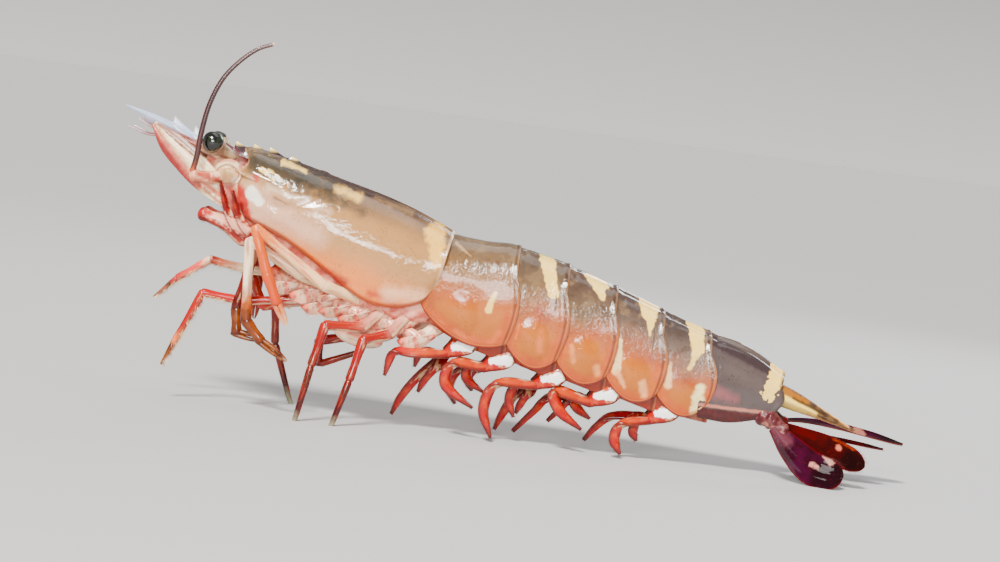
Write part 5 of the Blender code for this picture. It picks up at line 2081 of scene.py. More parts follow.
@dataclass
class BladeForm:
    """A thin blade along a path, thickest in the middle, with ribs on both faces."""

    columns: int = 28
    edge: float = 0.22
    rib: float = 0.3
    rib_width: float = 0.12
    side_ribs: Values = ()

    def rings(
        self, path: Sequence[Vector], widths: Sequence[float], depths: Sequence[float], across: Vector
    ) -> tuple[list[Ring], dict[str, list[list[float]]]]:
        """Sections of the blade.

        Args:
            path: its middle line, in millimetres over the floor.
            widths: its half width at each point of the path.
            depths: its half thickness at each point of the path.
            across: the direction of its width.

        Returns:
            The rings, and for each point how far it is from the blade's edge, as the mark rim.
        """
        rings = []
        rims = []
        for i, place in enumerate(path):
            ahead = heading(path, i)
            side = square_to(across, ahead)
            up = ahead.cross(side)
            ring = []
            rim = []
            for k in range(self.columns):
                angle = 2 * math.pi * k / self.columns
                u = math.cos(angle)
                body = self.edge + (depths[i] - self.edge) * (1 - u * u)
                body += self.rib * gauss(u, self.rib_width)
                body += sum(0.6 * self.rib * gauss(u - rib, self.rib_width * 0.7) for rib in self.side_ribs)
                v = math.copysign(1, math.sin(angle)) * body * min(1, abs(math.sin(angle)) * 4)
                ring.append(PLACE.at(*(place + side * u * widths[i] + up * v)))
                rim.append(widths[i] * (1 - abs(u)))
            rings.append(ring)
            rims.append(rim)
        return rings, {"rim": rims}

    def build(
        self, name: str, path: Sequence[Vector], widths: Sequence[float],
        depths: Sequence[float], across: Vector,
    ) -> Piece:
        """Makes the blade as a closed mesh."""
        rings, marks = self.rings(path, widths, depths, across)
        return BENCH.rolled(name, rings, marks=marks)


@dataclass
class Pleopods:
    """The ten swimming legs: a stout base with a white patch, and two red blades each."""

    roots: Values = (150, 165, 185, 206, 229)
    base_radius: float = 3.6
    base_length: float = 8.5
    sink: float = 4
    base_widths: Values = (4.4, 4.9, 4, 2.6, 1.6)
    base_depths: Values = (2.6, 2.6, 2.2, 1.7, 1.2)
    half_widths: Values = (1.9, 2.7, 2.7, 2.1, 0.5)
    half_depth: float = 1.5
    across: Point = (0.9, 0.7, 0.5)
    inner_share: float = 0.62
    branches: dict[str, tuple[tuple[Flat, ...], ...]] = field(default_factory=lambda: {
        "L": (
            ((57, 31.5), (47, 29.5), (38.5, 28.5), (36, 19.5)),
            ((73, 30.5), (61, 27.5), (59, 19), (70, 11.8)),
            ((89, 26.5), (78, 22), (74, 12), (78, 1.6)),
            ((108, 25.5), (100, 22), (102, 15), (111, 9)),
            ((133, 17.5), (126, 13), (123.6, 7), (126.5, 1.6)),
        ),
        "R": (
            ((58, 27), (49, 20), (43, 11), (39.5, 3)),
            ((72, 27), (64, 24), (60, 17), (63, 10)),
            ((91, 25), (85, 16), (81.5, 9), (79, 2.5)),
            ((108, 23), (99, 18), (93, 11.5), (86, 2.8)),
            ((131, 17.5), (123, 14), (117, 9), (113, 3.2)),
        ),
    })
    rod: RodForm = field(default_factory=RodForm)
    blade: BladeForm = field(default_factory=lambda: BladeForm(columns=20, edge=0.3, rib=0.25, rib_width=0.2))

    def finish(self, name: str, patch: Vector, near: bool) -> Material:
        """Red blades, with a white patch on the base.

        Args:
            name: the finish's name.
            patch: the middle of the patch.
            near: whether it is on the side that the photo shows.

        Returns:
            The leg's material.
        """
        # Painted light and shade: the near side's blades get a bright orange stop, the far side's a deeper
        # red.
        first = (254, 140, 30) if near else LEG_RED
        stops = ((0, (222, 58, 20)), (0.25, first), (0.55, (254, 92, 10)), (0.85, (236, 44, 10)),
                 (1, (120, 30, 32)))
        white = Marking((patch.x - 2.4, patch.z - 0.4), (patch.x + 3, patch.z + 0.6), 1.3, 2.1,
                        (253, 250, 244), 0.25, 1, 0.9)
        # The pale orange streaks along the blades are painted highlights.
        return LimbFinish(name, stops, streak=(250, 150, 84), streak_strength=0.5, markings=(white,),
                          edge=(150, 22, 26)).material()

    def build(self) -> None:
        """Makes all ten, and their fringes."""
        draw = random.Random(47)
        stations = Abdomen().stations
        for letter, side in SIDES:
            fringe = Fringe(f"pleopod_fringe_{letter}", Seta.FINE)
            for index, s in enumerate(self.roots):
                _, _, _, half_width, belly = eased(stations, s)
                top = PLACE.over_floor(s + 3, belly + self.sink, side * half_width * 0.52)
                end = PLACE.over_floor(s - 3, belly + self.sink - self.base_length, side * half_width * 0.6)
                knee = Vector((end.x - 1.5, end.y, end.z - 0.5))
                column = curve_through((top, top.lerp(knee, 0.35), top.lerp(knee, 0.7), knee), 5)
                parts = [self.blade.build(
                    "base", column, spread_values(self.base_widths, len(column)),
                    spread_values(self.base_depths, len(column)), Vector((1, 0.2 * side, 0)),
                )]
                branch = self.branches[letter][index]
                lateral = side * half_width * 0.68
                guides = [end] + [
                    Vector((x, lateral + side * 0.7 * i, z)) for i, (x, z) in enumerate(branch[1:])
                ]
                inner = [end + (p - end) * self.inner_share for p in guides]
                inner = [Vector((p.x + 2, side * half_width * 0.3 + (p.y - end.y) * 0.2, p.z)) for p in inner]
                inner[0] = end
                for reach, points in ((1, guides), (0.9, inner)):
                    path = curve_through(points, 8)
                    widths = [w * reach for w in spread_values(self.half_widths, len(path))]
                    depths = [
                        self.half_depth * reach * (1 - 0.6 * (i / len(path)) ** 3) for i in range(len(path))
                    ]
                    made = self.blade.build("blade", path, widths, depths, Vector(self.across))
                    parts.append(made)
                    self.plant(fringe, draw, path, widths, index)
                piece = BENCH.joined(f"swimmer_{index + 1}_{letter}", parts)
                middle = top.lerp(end, 0.45)
                finish = self.finish(f"pleopod_{index + 1}_{letter}_shell", middle, letter == "L")
                BENCH.done(piece, finish, "leg_orange", [f"pleopod_{index + 1}_{letter}"])
            hair = SetaFinish(f"pleopod_hair_{letter}", (128, 24, 30), (188, 60, 48)).material()
            fringe.build(hair, "leg_orange")

    def plant(
        self, fringe: Fringe, draw: random.Random, path: Sequence[Vector], widths: Sequence[float], index: int
    ) -> None:
        """Sets hairs along both edges of a blade.

        Args:
            fringe: takes the hairs.
            draw: the random draws.
            path: the blade's middle line.
            widths: its half widths along the path.
            index: which leg, 0 for the first.
        """
        across = Vector(self.across)
        for i in range(5, len(path) - 1):
            ahead = (path[i + 1] - path[i - 1]).normalized()
            side = square_to(across, ahead)
            for edge in (-1, 1):
                for k in range(3):
                    t = draw.random()
                    root = path[i].lerp(path[i + 1], t) + side * edge * widths[i] * 0.94
                    if root.z < 2.4:
                        continue
                    way = side * edge * 0.6 + ahead + Vector((0, 0, draw.uniform(-0.2, 0.2)))
                    place = ((index + (i + t) / len(path)) / 6, 0.5 + edge * 0.2)
                    fringe.add(PLACE.at(*root), way, draw.uniform(0.7, 1.5), place)


# The head


@dataclass
class Head:
    """Eyes, antennae and mouthparts."""

    eye_centre: Point = (-38, 9, 96.6)
    eye_radius: float = 4.1
    stalk_root: Point = (-30, 3, 91.5)
    stalk_radius: float = 2.2
    peduncle: tuple[Point, ...] = ((-35, 3.4, 91.5), (-43, 3.8, 94.3), (-49, 3.9, 96.2), (-55, 4, 98))
    peduncle_radii: Values = (2, 1.7, 1.4)
    lashes: tuple[tuple[Point, ...], ...] = (
        ((-54, 4.6, 97.6), (-62, 6.4, 96.3), (-70, 8, 98.6)),
        ((-54, 3.4, 98.2), (-61, 3.2, 99), (-67, 3, 101.6)),
    )
    lash_radius: float = 0.55
    bulge: Point = (-31, 7.4, 86.6)
    bulge_size: Point = (5.3, 4.4, 4.7)
    bulge_arch: tuple[Point, ...] = (
        (-36.2, 9.6, 85.2), (-34.6, 11.2, 88.2), (-31.2, 11.9, 89.9), (-27.8, 11.2, 88.6),
        (-26.2, 10.4, 85.6),
        (-27.6, 11, 82.8),
    )
    arch_radius: float = 0.42
    antenna: tuple[Point, ...] = ((-32, 8, 85), (-37.5, 10.3, 83.6), (-43.6, 12.6, 83.8))
    antenna_radii: Flat = (3.1, 2.3)
    flagella: dict[str, tuple[Point, ...]] = field(default_factory=lambda: {
        "L": ((-43.8, -12.8, 85), (-42.8, -13.3, 91), (-42.2, -13.5, 100), (-40.5, -13.3, 110.5),
              (-37, -12.8, 120), (-32, -12, 127), (-26, -11.2, 132.5), (-20, -10.5, 135.4)),
        "R": ((-43.8, 12.8, 85), (-44, 14.5, 88), (-40, 17.5, 91), (-31, 20, 90.5), (-20, 21.5, 88),
              (-8, 22.3, 84.5), (4, 22.5, 80.5), (15, 22.3, 76)),
    })
    flagellum_radii: Flat = (1.15, 0.7)
    annulus: float = 0.8
    scale_path: tuple[Point, ...] = (
        (-26, 6.2, 73), (-30.5, 6.8, 76.2), (-35, 7.2, 79.5), (-40.5, 7.6, 83.7), (-47, 7.8, 89.1),
        (-54, 7.8, 94.6), (-60.6, 7.6, 100.6),
    )
    scale_half_widths: Values = (1.2, 3.2, 4.4, 5.2, 5.3, 4.3, 1.2)
    scale_across: Point = (0.69, 0, 0.72)
    palp: tuple[Point, ...] = ((-15, 4.5, 64), (-23, 6, 62.3), (-31.5, 7, 68), (-38.6, 7.3, 69.8))
    palp_radii: Values = (2.8, 2.7, 2.6)
    palp_hairs: int = 60
    feathers: tuple[tuple[Point, ...], ...] = (
        ((-18, 7, 62.5), (-24, 10.5, 65.5), (-29.5, 12, 73), (-33.2, 12.8, 83.2)),
        ((-15, 9, 63.5), (-20, 12.6, 65.5), (-24.8, 13.9, 71.5), (-28, 14.3, 80.2)),
    )
    feather_half_widths: Values = (1.6, 1.7, 1.4, 0.5)
    rod: RodForm = field(default_factory=RodForm)

    def build(self) -> None:
        """Makes both sides of the head."""
        for letter, side in SIDES:
            self.eye(letter, side)
            self.antennule(letter, side)
            self.antenna_base(letter, side)
            self.flagellum(letter)
            self.scale(letter, side)
            self.mouthparts(letter, side)

    def eye(self, letter: str, side: int) -> None:
        """The cornea and its stalk.

        Args:
            letter: L for the left side, R for the right.
            side: -1 for the left side, 1 for the right.
        """
        centre = Vector(mirrored([self.eye_centre], side)[0])
        root = Vector(mirrored([self.stalk_root], side)[0])
        presses = ((root - centre, -0.14, 0.55), ((0.3, 0, 1), -0.05, 0.4))
        cornea = BENCH.lump(
            f"cornea_{letter}", centre, (self.eye_radius, self.eye_radius * 0.97, self.eye_radius), presses,
        )
        BENCH.done(cornea, EyeFinish().material(), "eye_black", [f"eye_{letter}"])
        way = (centre - root).normalized()
        rings = []
        length = (centre - root).length
        for t, share in (
            (-0.1, 0.6), (0, 0.9), (0.2, 1), (0.45, 1), (0.6, 1.15), (0.72, 1.5), (0.8, 1.62), (0.86, 1.5),
        ):
            place = PLACE.at(*(root + way * length * t))
            radius = self.stalk_radius * share
            rings.append(ring_round(place, way, radius, radius, 24, UP))
        stalk = BENCH.rolled(f"stalk_{letter}", rings)
        finish = PatchedFinish(
            f"eyestalk_{letter}_skin", (206, 190, 164), (170, 140, 118), cloud=3,
            gloss=Gloss(roughness=0.3, subsurface=0.1),
        )
        BENCH.done(stalk, finish.material(), "flesh_pink", [f"eyestalk_{letter}"])

    def antennule(self, letter: str, side: int) -> None:
        """The jointed stem of the inner antenna and its two lashes.

        Args:
            letter: L for the left side, R for the right.
            side: -1 for the left side, 1 for the right.
        """
        joints = [Vector(p) for p in mirrored(self.peduncle, side)]
        parts = []
        for i, (start, end) in enumerate(zip(joints, joints[1:])):
            after = self.peduncle_radii[min(i + 1, 2)] * 0.92
            parts.append(self.rod.build(start, end, (self.peduncle_radii[i], after), (i / 5, (i + 1) / 5)))
        for points in self.lashes:
            path = curve_through(mirrored(points, side), 10)
            parts.append(self.whip(path, (self.lash_radius, self.lash_radius * 0.45), (0.6, 1), 0.03))
        piece = BENCH.joined(f"inner_antenna_{letter}", parts)
        stops = ((0, (214, 176, 162)), (0.4, (196, 120, 112)), (0.6, (190, 116, 110)),
                 (0.8, (206, 176, 176)), (1, (212, 200, 204)))
        finish = LimbFinish(f"antennule_{letter}_shell", stops, streak=(168, 66, 70), streak_strength=0.6)
        BENCH.done(piece, finish.material(), "flesh_pink", [f"antennule_{letter}"])

    def antenna_base(self, letter: str, side: int) -> None:
        """The round bulge and the stout joints that carry the long antenna.

        Args:
            letter: L for the left side, R for the right.
            side: -1 for the left side, 1 for the right.
        """
        presses = (
            ((-0.9, side * 0.4, -0.5), -0.12, 0.45), ((0.6, side, 0.5), -0.07, 0.3),
            ((0.2, side, -0.8), 0.06, 0.4),
        )
        ball = BENCH.lump("bulge", mirrored([self.bulge], side)[0], self.bulge_size, presses)
        arch = curve_through(mirrored(self.bulge_arch, side), 6)
        rings = []
        for i, place in enumerate(arch):
            ahead = (arch[min(i + 1, len(arch) - 1)] - arch[max(i - 1, 0)]).normalized()
            radius = self.arch_radius * math.sin(math.pi * (i + 1) / (len(arch) + 1)) ** 0.5
            rings.append(ring_round(PLACE.at(*place), ahead, radius, radius * 1.3, 12, SIDEWAYS))
        parts = [ball, BENCH.rolled("arch", rings)]
        joints = [Vector(p) for p in mirrored(self.antenna, side)]
        for i, (start, end) in enumerate(zip(joints, joints[1:])):
            radii = (self.antenna_radii[i], self.antenna_radii[min(i + 1, 1)] * 0.92)
            parts.append(self.rod.build(start, end, radii, (0.3 + 0.3 * i, 0.6 + 0.3 * i)))
        piece = BENCH.joined(f"outer_antenna_{letter}", parts)
        finish = PatchedFinish(
            f"antenna_{letter}_shell", (236, 212, 194), (224, 186, 164),
            (
                Marking((-31.5, 86.4), (-30, 85.4), 2.2, 1.8, (206, 176, 116), 1.6, 0.8, 0.8),
                # Pale stroke along the top of the arch: a painted highlight on the ridge.
                Marking((-35.8, 88.2), (-28, 89.4), 0.8, 0.7, (248, 232, 216), 0.5, 0.7, 0.8),
                Marking((-41, 84.8), (-34, 82.6), 1, 1.3, (226, 96, 70), 0.8, 0.85, 1),
                Marking((-44, 82), (-36, 81), 0.8, 0.8, (240, 160, 132), 0.6, 0.8, 0.8),
                Marking((-27.5, 84), (-29.5, 79.5), 1.4, 1.2, (252, 236, 226), 0.6, 0.8, 0.8),
            ),
            cloud=3.4, wrinkle=0.2, gloss=Gloss(roughness=0.28, subsurface=0.1),
        )
        BENCH.done(piece, finish.material(), "flesh_pink", [f"antenna_{letter}"])

    def whip(
        self, path: Sequence[Vector], radii: Flat, along: Flat, beading: float
    ) -> Piece:
        """A thin ringed lash along a path.

        Args:
            path: its middle line.
            radii: its radius at root and tip.
            along: the shares of the limb's length where it starts and ends.
            beading: how much its rings stand out, as a share of the radius.

        Returns:
            The lash.
        """
        reach = sum((b - a).length for a, b in zip(path, path[1:]))
        steps = max(int(reach / self.annulus * 3), len(path))
        rows = [(i / (len(path) - 1), *place) for i, place in enumerate(path)]
        fine = [Vector(eased(rows, k / steps)) for k in range(steps + 1)]
        rings = []
        for i, place in enumerate(fine):
            t = i / steps
            ahead = (fine[min(i + 1, steps)] - fine[max(i - 1, 0)]).normalized()
            radius = (radii[0] + (radii[1] - radii[0]) * t) * (1 + beading * (1 if i % 3 else -1))
            rings.append(ring_round(PLACE.at(*place), ahead, radius, radius, 12, SIDEWAYS))
        marks = [along[0] + (along[1] - along[0]) * i / steps for i in range(steps + 1)]
        return BENCH.rolled("whip", rings, marks)

    def flagellum(self, letter: str) -> None:
        """The long antenna, broken off short.

        Args:
            letter: L for the left side, R for the right.
        """
        path = curve_through(self.flagella[letter], 6)
        piece = self.whip(path, self.flagellum_radii, (0, 1), 0.025)
        piece.name = f"flagellum_{letter}"
        stops = ((0, (232, 140, 100)), (0.05, (186, 92, 68)), (0.12, (124, 62, 54)),
                 (0.5, (104, 54, 50)), (0.85, (136, 92, 84)), (0.975, (150, 108, 98)),
                 (1, (226, 208, 200)))
        finish = LimbFinish(f"flagellum_{letter}_shell", stops, streak=(82, 36, 36), pale_strength=0,
                            gloss=Gloss(roughness=0.42, coat=0.5, subsurface=0.05))
        BENCH.done(piece, finish.material(), "whip_brown", [f"antenna_flagellum_{letter}"])

    def scale(self, letter: str, side: int) -> None:
        """The flat plate beside the antenna, with a fringe along its lower edge.

        Args:
            letter: L for the left side, R for the right.
            side: -1 for the left side, 1 for the right.
        """
        path = curve_through(mirrored(self.scale_path, side), 10)
        widths = spread_values(self.scale_half_widths, len(path))
        depths = [0.9 - 0.4 * i / len(path) for i in range(len(path))]
        form = BladeForm(columns=40, edge=0.2, rib=0.35, rib_width=0.14, side_ribs=(-0.55, 0.6))
        piece = form.build(f"scale_{letter}", path, widths, depths, Vector(self.scale_across))
        finish = PatchedFinish(
            f"antennal_scale_{letter}_shell", (246, 232, 214), (244, 222, 204),
            (
                Marking((-62.4, 97.6), (-43, 79.6), 3.6, 2.6, (232, 84, 60), 1.3, 0.85, 0.8),
                Marking((-62.4, 96.4), (-45, 79.6), 2.7, 1.7, (212, 26, 22), 1, 0.95, 0.7),
                Marking((-62, 93.6), (-56, 87.4), 1.4, 0.8, (58, 18, 26), 0.6, 0.95, 0.6),
                Marking((-58.5, 100.6), (-42, 91.5), 0.9, 1.3, (186, 112, 112), 0.6, 0.85, 0.6),
                Marking((-56, 98), (-43, 89.8), 0.25, 0.35, (176, 44, 52), 0.3, 0.85, 0.4),
                Marking((-42, 82.6), (-33, 77.6), 0.8, 1, (236, 128, 104), 0.7, 0.8, 0.8),
                Marking((-41, 80), (-33, 75), 0.5, 0.6, (228, 92, 84), 0.5, 0.7, 0.8),
            ),
            cloud=4, wrinkle=0.1, gloss=Gloss(roughness=0.26, subsurface=0.1),
        )
        BENCH.done(piece, finish.material(), "scale_cream", [f"antenna_scale_{letter}"])

    def mouthparts(self, letter: str, side: int) -> None:
        """The blunt palp, and the two red feathery branches over the cheek.

        Args:
            letter: L for the left side, R for the right.
            side: -1 for the left side, 1 for the right.
        """
        joints = [Vector(p) for p in mirrored(self.palp, side)]
        parts = []
        for i, (start, end) in enumerate(zip(joints, joints[1:])):
            after = self.palp_radii[min(i + 1, 2)] * 0.92
            parts.append(self.rod.build(start, end, (self.palp_radii[i], after), (i / 4, (i + 1) / 4), 0.8))
        draw = random.Random(19)
        fringe = Fringe(f"feather_hairs_{letter}", Seta.FINE)
        for i, (start, end) in enumerate(zip(joints, joints[1:])):
            for k in range(self.palp_hairs):
                t = (k + draw.random()) / self.palp_hairs
                turn = draw.uniform(-1.2, 1.2)
                out = Vector((-0.3, math.sin(turn), -math.cos(turn)))
                root = start.lerp(end, t) + out.normalized() * self.palp_radii[i] * 0.85
                fringe.add(
                    PLACE.at(*root), out + (end - start).normalized(), draw.uniform(0.7, 1.7),
                    ((i + t) / 6, 0.9 + turn / 24),
                )
        form = BladeForm(columns=16, edge=0.2, rib=0.3, rib_width=0.3)
        for number, points in enumerate(self.feathers):
            path = curve_through(mirrored(points, side), 10)
            widths = spread_values(self.feather_half_widths, len(path))
            depths = [0.55] * len(path)
            blade = form.build("feather", path, widths, depths, Vector((1, 0, 0.2)))
            parts.append(blade)
            for i in range(4, len(path) - 1):
                ahead = (path[i + 1] - path[i - 1]).normalized()
                across = (Vector((1, 0, 0.2)) - ahead * ahead.x).normalized()
                for edge in (-1, 1):
                    for _ in range(5):
                        t = draw.random()
                        root = path[i].lerp(path[i + 1], t) + across * edge * widths[i] * 0.9
                        way = across * edge * 0.7 + ahead + Vector((0, side * draw.uniform(0, 0.3), 0))
                        place = ((number + (i + t) / len(path)) / 3, 0.5 + edge * 0.2)
                        fringe.add(PLACE.at(*root), way, draw.uniform(0.9, 1.8), place)
        piece = BENCH.joined(f"mouthparts_{letter}", parts)
        stops = ((0, (236, 150, 140)), (0.3, (222, 70, 62)), (0.6, (196, 40, 42)), (1, (150, 26, 34)))
        white = Marking((-36, 70.8), (-22, 66.4), 1.9, 2.4, (248, 214, 200), 1, 0.95, 1.6)
        red = Marking((-40.5, 70.8), (-36, 70.6), 1.3, 1, (232, 84, 72), 0.9, 0.9, 0.8)
        finish = LimbFinish(f"mouthparts_{letter}_shell", stops, streak=(238, 120, 100), streak_strength=0.4,
                            markings=(white, red))
        BENCH.done(piece, finish.material(), "leg_orange", [f"maxilliped_2_{letter}"])
        hair = SetaFinish(f"feather_hair_{letter}", (168, 30, 36), (214, 66, 56)).material()
        fringe.build(hair, "leg_orange")


# The tail


@dataclass
class TailFan:
    """The telson and the two pairs of blades beside it."""

    telson_path: tuple[Point, ...] = ((180, 0, 31.5), (188, 0, 29.5), (200, 0, 25.5), (213, 0, 20.8))
    telson_half_widths: Values = (6, 5.6, 3.6, 0.7)
    telson_half_depths: Values = (4.3, 3.9, 2.2, 0.5)
    groove: float = 1
    bases: dict[str, tuple[Point, Point]] = field(default_factory=lambda: {
        "L": ((177, -4.5, 22.5), (184.5, -7.4, 19)),
        "R": ((177, 4.5, 22.5), (185.5, 7.6, 20.5)),
    })
    base_radius: float = 3.6
    blades: dict[str, tuple[tuple, ...]] = field(default_factory=lambda: {
        "L": (
            (((182, -8, 19.5), (189, -10.2, 12.6), (196.5, -12.5, 6.9), (203, -14.5, 5.2), (209, -16, 5.8)),
             (2.6, 5, 6.4, 6.4, 5.8), (0.55, 0.25, 0.8)),
            (((184, -6, 20), (192, -5.6, 17.4), (201, -6.4, 15), (210, -7.4, 11.6), (217.3, -8.2, 8.8)),
             (1.8, 3.2, 4.2, 4.7, 4.4), (0.4, 0.25, 0.85)),
        ),
        "R": (
            (((183, 8, 20.5), (195, 12, 21.2), (208, 16.5, 20.4), (222, 20.6, 18.4), (235, 23.8, 16)),
             (2.4, 5.2, 6.8, 6.6, 5.4), (0.3, 1, 0.05)),
            (((184, 6, 18.3), (195, 7.2, 17.2), (206, 8.6, 16.4), (217, 10, 15.4), (226, 11.2, 14.4)),
             (1.6, 3.3, 4.4, 4.6, 4), (0.1, 1, 0.05)),
        ),
    })
    half_depth: float = 0.65
    rod: RodForm = field(default_factory=RodForm)

    def build(self) -> None:
        """Makes the telson, the bases and the four blades with their fringes."""
        self.telson()
        draw = random.Random(63)
        for letter, side in SIDES:
            start, end = (Vector(p) for p in self.bases[letter])
            middle = start.lerp(end, 0.5) + Vector((0, 0, 0.8))
            stem = self.rod.build(start, middle, (self.base_radius, self.base_radius * 0.95), (0, 0.5))
            lobe = self.rod.build(
                middle, end + Vector((1.6, 0, -0.9)), (self.base_radius * 0.9, self.base_radius * 0.62),
                (0.4, 1)
            )
            base = BENCH.joined(f"fan_base_{letter}", [stem, lobe])
            finish = PatchedFinish(
                f"fan_base_{letter}_shell", (172, 112, 110), (132, 62, 68),
                (
                    Marking((188, 22), (193, 20.5), 1.4, 1.2, (206, 72, 34), 0.8, 0.9, 0.8),
                    Marking((178, 20), (186, 17.5), 0.7, 0.6, (214, 170, 160), 0.6, 0.7, 1),
                ),
                cloud=2.6, gloss=Gloss(roughness=0.34, coat=0.15, specular=0.2),
            )
            BENCH.done(base, finish.material(), "fan_maroon", [f"uropod_base_{letter}"])
            fringe = Fringe(f"fan_fringe_{letter}", Seta.FINE)
            for label, (points, half_widths, across) in zip(("exopod", "endopod"), self.blades[letter]):
                self.blade(draw, fringe, letter, label, points, half_widths, Vector(across))
            hair = SetaFinish(f"fan_hair_{letter}", (110, 24, 34), (176, 84, 78)).material()
            fringe.build(hair, "fan_maroon")

    def blade(
        self, draw: random.Random, fringe: Fringe, letter: str, label: str,
        points: Sequence[Point], half_widths: Sequence[float], across: Vector,
    ) -> None:
        """One blade of the fan.

        Args:
            draw: the random draws.
            fringe: takes the hairs.
            letter: L for the left side, R for the right.
            label: exopod for the outer blade, endopod for the inner one.
            points: the guides of its middle line.
            half_widths: its half widths.
            across: the direction of its width.
        """
        path = curve_through(points, 12)
        widths = paddle(spread_values(half_widths, len(path)))
        depths = [self.half_depth * (1 - 0.4 * i / len(path)) for i in range(len(path))]
        outer = label == "exopod"
        form = BladeForm(
            columns=64, edge=0.16, rib=0.1, rib_width=0.14, side_ribs=(-0.5, 0.42) if outer else (),
        )
        piece = form.build(f"fan_{label}_{letter}", path, widths, depths, across)
        floor = PLACE.shift.z
        for vert in piece.data.vertices:
            vert.co.z = max(vert.co.z, floor)
        finish = self.outer_finish(letter) if outer else self.inner_finish(letter)
        BENCH.done(piece, finish.material(), "fan_maroon", [f"uropod_{label}_{letter}"])
        for i in range(int(len(path) * 0.45), len(path) - 1):
            ahead = (path[i + 1] - path[i - 1]).normalized()
            side = square_to(across, ahead)
            for edge in (-1, 1):
                for _ in range(4):
                    t = draw.random()
                    root = path[i].lerp(path[i + 1], t) + side * edge * widths[i] * 0.97
                    way = side * edge * 0.55 + ahead
                    length = draw.uniform(0.6, 1.2)
                    if root.z + way.normalized().z * length < 0.6:
                        continue
                    fringe.add(PLACE.at(*root), way, length, ((i + t) / len(path), 0.5 + 0.2 * edge))

    def outer_finish(self, letter: str) -> PatchedFinish:
        """Plum to near black, with two cream-pink spots on the side that the photo shows.

        Args:
            letter: L for the left side, R for the right.

        Returns:
            The outer blade's finish.
        """
        dark = (
            Marking((203, 4), (209, 4.5), 5.5, 5, NEAR_BLACK, 3, 0.8, 1.4),
            Marking((181, 20), (187, 15), 2.6, 2, (160, 100, 112), 1.8, 0.75, 1),
        )
        spots = (
            Marking((201.6, 11.6), (204, 9.6), 0.9, 1.2, (208, 172, 162), 0.5, 0.9, 0.9),
            Marking((196.8, 7.9), (199.4, 7.2), 0.9, 0.7, (216, 176, 166), 0.45, 0.9, 0.8),
        )
        far = (
            Marking((216, 19.5), (218, 19), 1.1, 1.1, (208, 160, 144), 0.5, 0.85, 1.2),
            Marking((230, 17), (236, 16), 5, 5, NEAR_BLACK, 3, 0.8, 1.4),
        )
        return PatchedFinish(
            f"fan_outer_{letter}_shell", (108, 32, 78), (88, 26, 64),
            (*dark, *spots) if letter == "L" else far, cloud=5, wrinkle=0.08,
            gloss=Gloss(coat=0.02, specular=0, subsurface=0),
            rim_colour=(150, 26, 40) if letter == "L" else (176, 96, 78), rim_width=0.8,
        )

    def inner_finish(self, letter: str) -> PatchedFinish:
        """Deep red to near black, with a salmon streak and a pale spot.

        Args:
            letter: L for the left side, R for the right.

        Returns:
            The inner blade's finish.
        """
        near = (
            Marking((212, 10.5), (217.5, 8.5), 4.4, 4, NEAR_BLACK, 2.4, 0.8, 1.2),
            Marking((205, 18.4), (213, 15.2), 0.8, 0.8, (214, 108, 80), 0.7, 0.8, 0.7),
            Marking((206.4, 14.9), (207.4, 14.5), 0.9, 0.8, (224, 160, 138), 0.5, 0.95, 0.6),
            Marking((191, 19.5), (197, 17.5), 1.6, 1, (146, 20, 26), 1, 0.7, 0.8),
        )
        far = (Marking((222, 15), (227, 14.4), 4, 4, NEAR_BLACK, 2.4, 0.8, 1.2),)
        return PatchedFinish(
            f"fan_inner_{letter}_shell", (118, 26, 44), (96, 18, 38), near if letter == "L" else far,
            cloud=4, wrinkle=0.08, gloss=Gloss(coat=0.02, specular=0, subsurface=0), rim_colour=(140, 20, 34),
        )

    def telson(self) -> None:
        """The pointed end of the tail: a groove between two keels along its top."""
        path = curve_through(self.telson_path, 18)
        widths = spread_values(self.telson_half_widths, len(path))
        depths = spread_values(self.telson_half_depths, len(path))
        rings = []
        for place, w, t in zip(path, widths, depths):
            groove = min(self.groove, 0.35 * t)
            outline = (
                (-w, -0.2 * t), (-0.72 * w, 0.5 * t), (-0.42 * w, t), (0, t - groove), (0.42 * w, t),
                (0.72 * w, 0.5 * t),
                (w, -0.2 * t), (0.5 * w, -0.8 * t), (0, -t), (-0.5 * w, -0.8 * t),
            )
            ring = [
                PLACE.at(place.x, place.y + p.x, place.z + p.y)
                for p in curve_through(outline, 5, closed=True)
            ]
            rings.append(ring)
        piece = BENCH.rolled("telson_spear", rings)
        finish = PatchedFinish(
            "telson_shell", (172, 132, 92), (124, 96, 74),
            (
                Marking((184, 33.5), (193, 31), 1.6, 1.4, (112, 100, 92), 1, 0.7, 1.6),
                Marking((183.5, 29.6), (196, 25.4), 2.6, 1.6, (250, 230, 180), 0.5, 1, 0.9),
                Marking((184, 33), (193, 29.8), 1.5, 1, (208, 152, 66), 0.7, 0.95, 0.8),
                Marking((194, 24.6), (213, 19.8), 1, 0.7, (234, 198, 156), 0.5, 0.9, 0.5),
                # Thin pale line along the top keels: a painted highlight.
                Marking((198, 29), (210, 22.6), 0.5, 0.4, (238, 208, 170), 0.4, 0.85, 0.4),
                Marking((188, 30.4), (206, 24.2), 0.5, 0.3, (96, 72, 56), 0.5, 0.8, 0.8),
            ),
            cloud=3, wrinkle=0.16, gloss=Gloss(roughness=0.3, subsurface=0.12),
        )
        BENCH.done(piece, finish.material(), "shell_brown", ["telson"])


# The studio


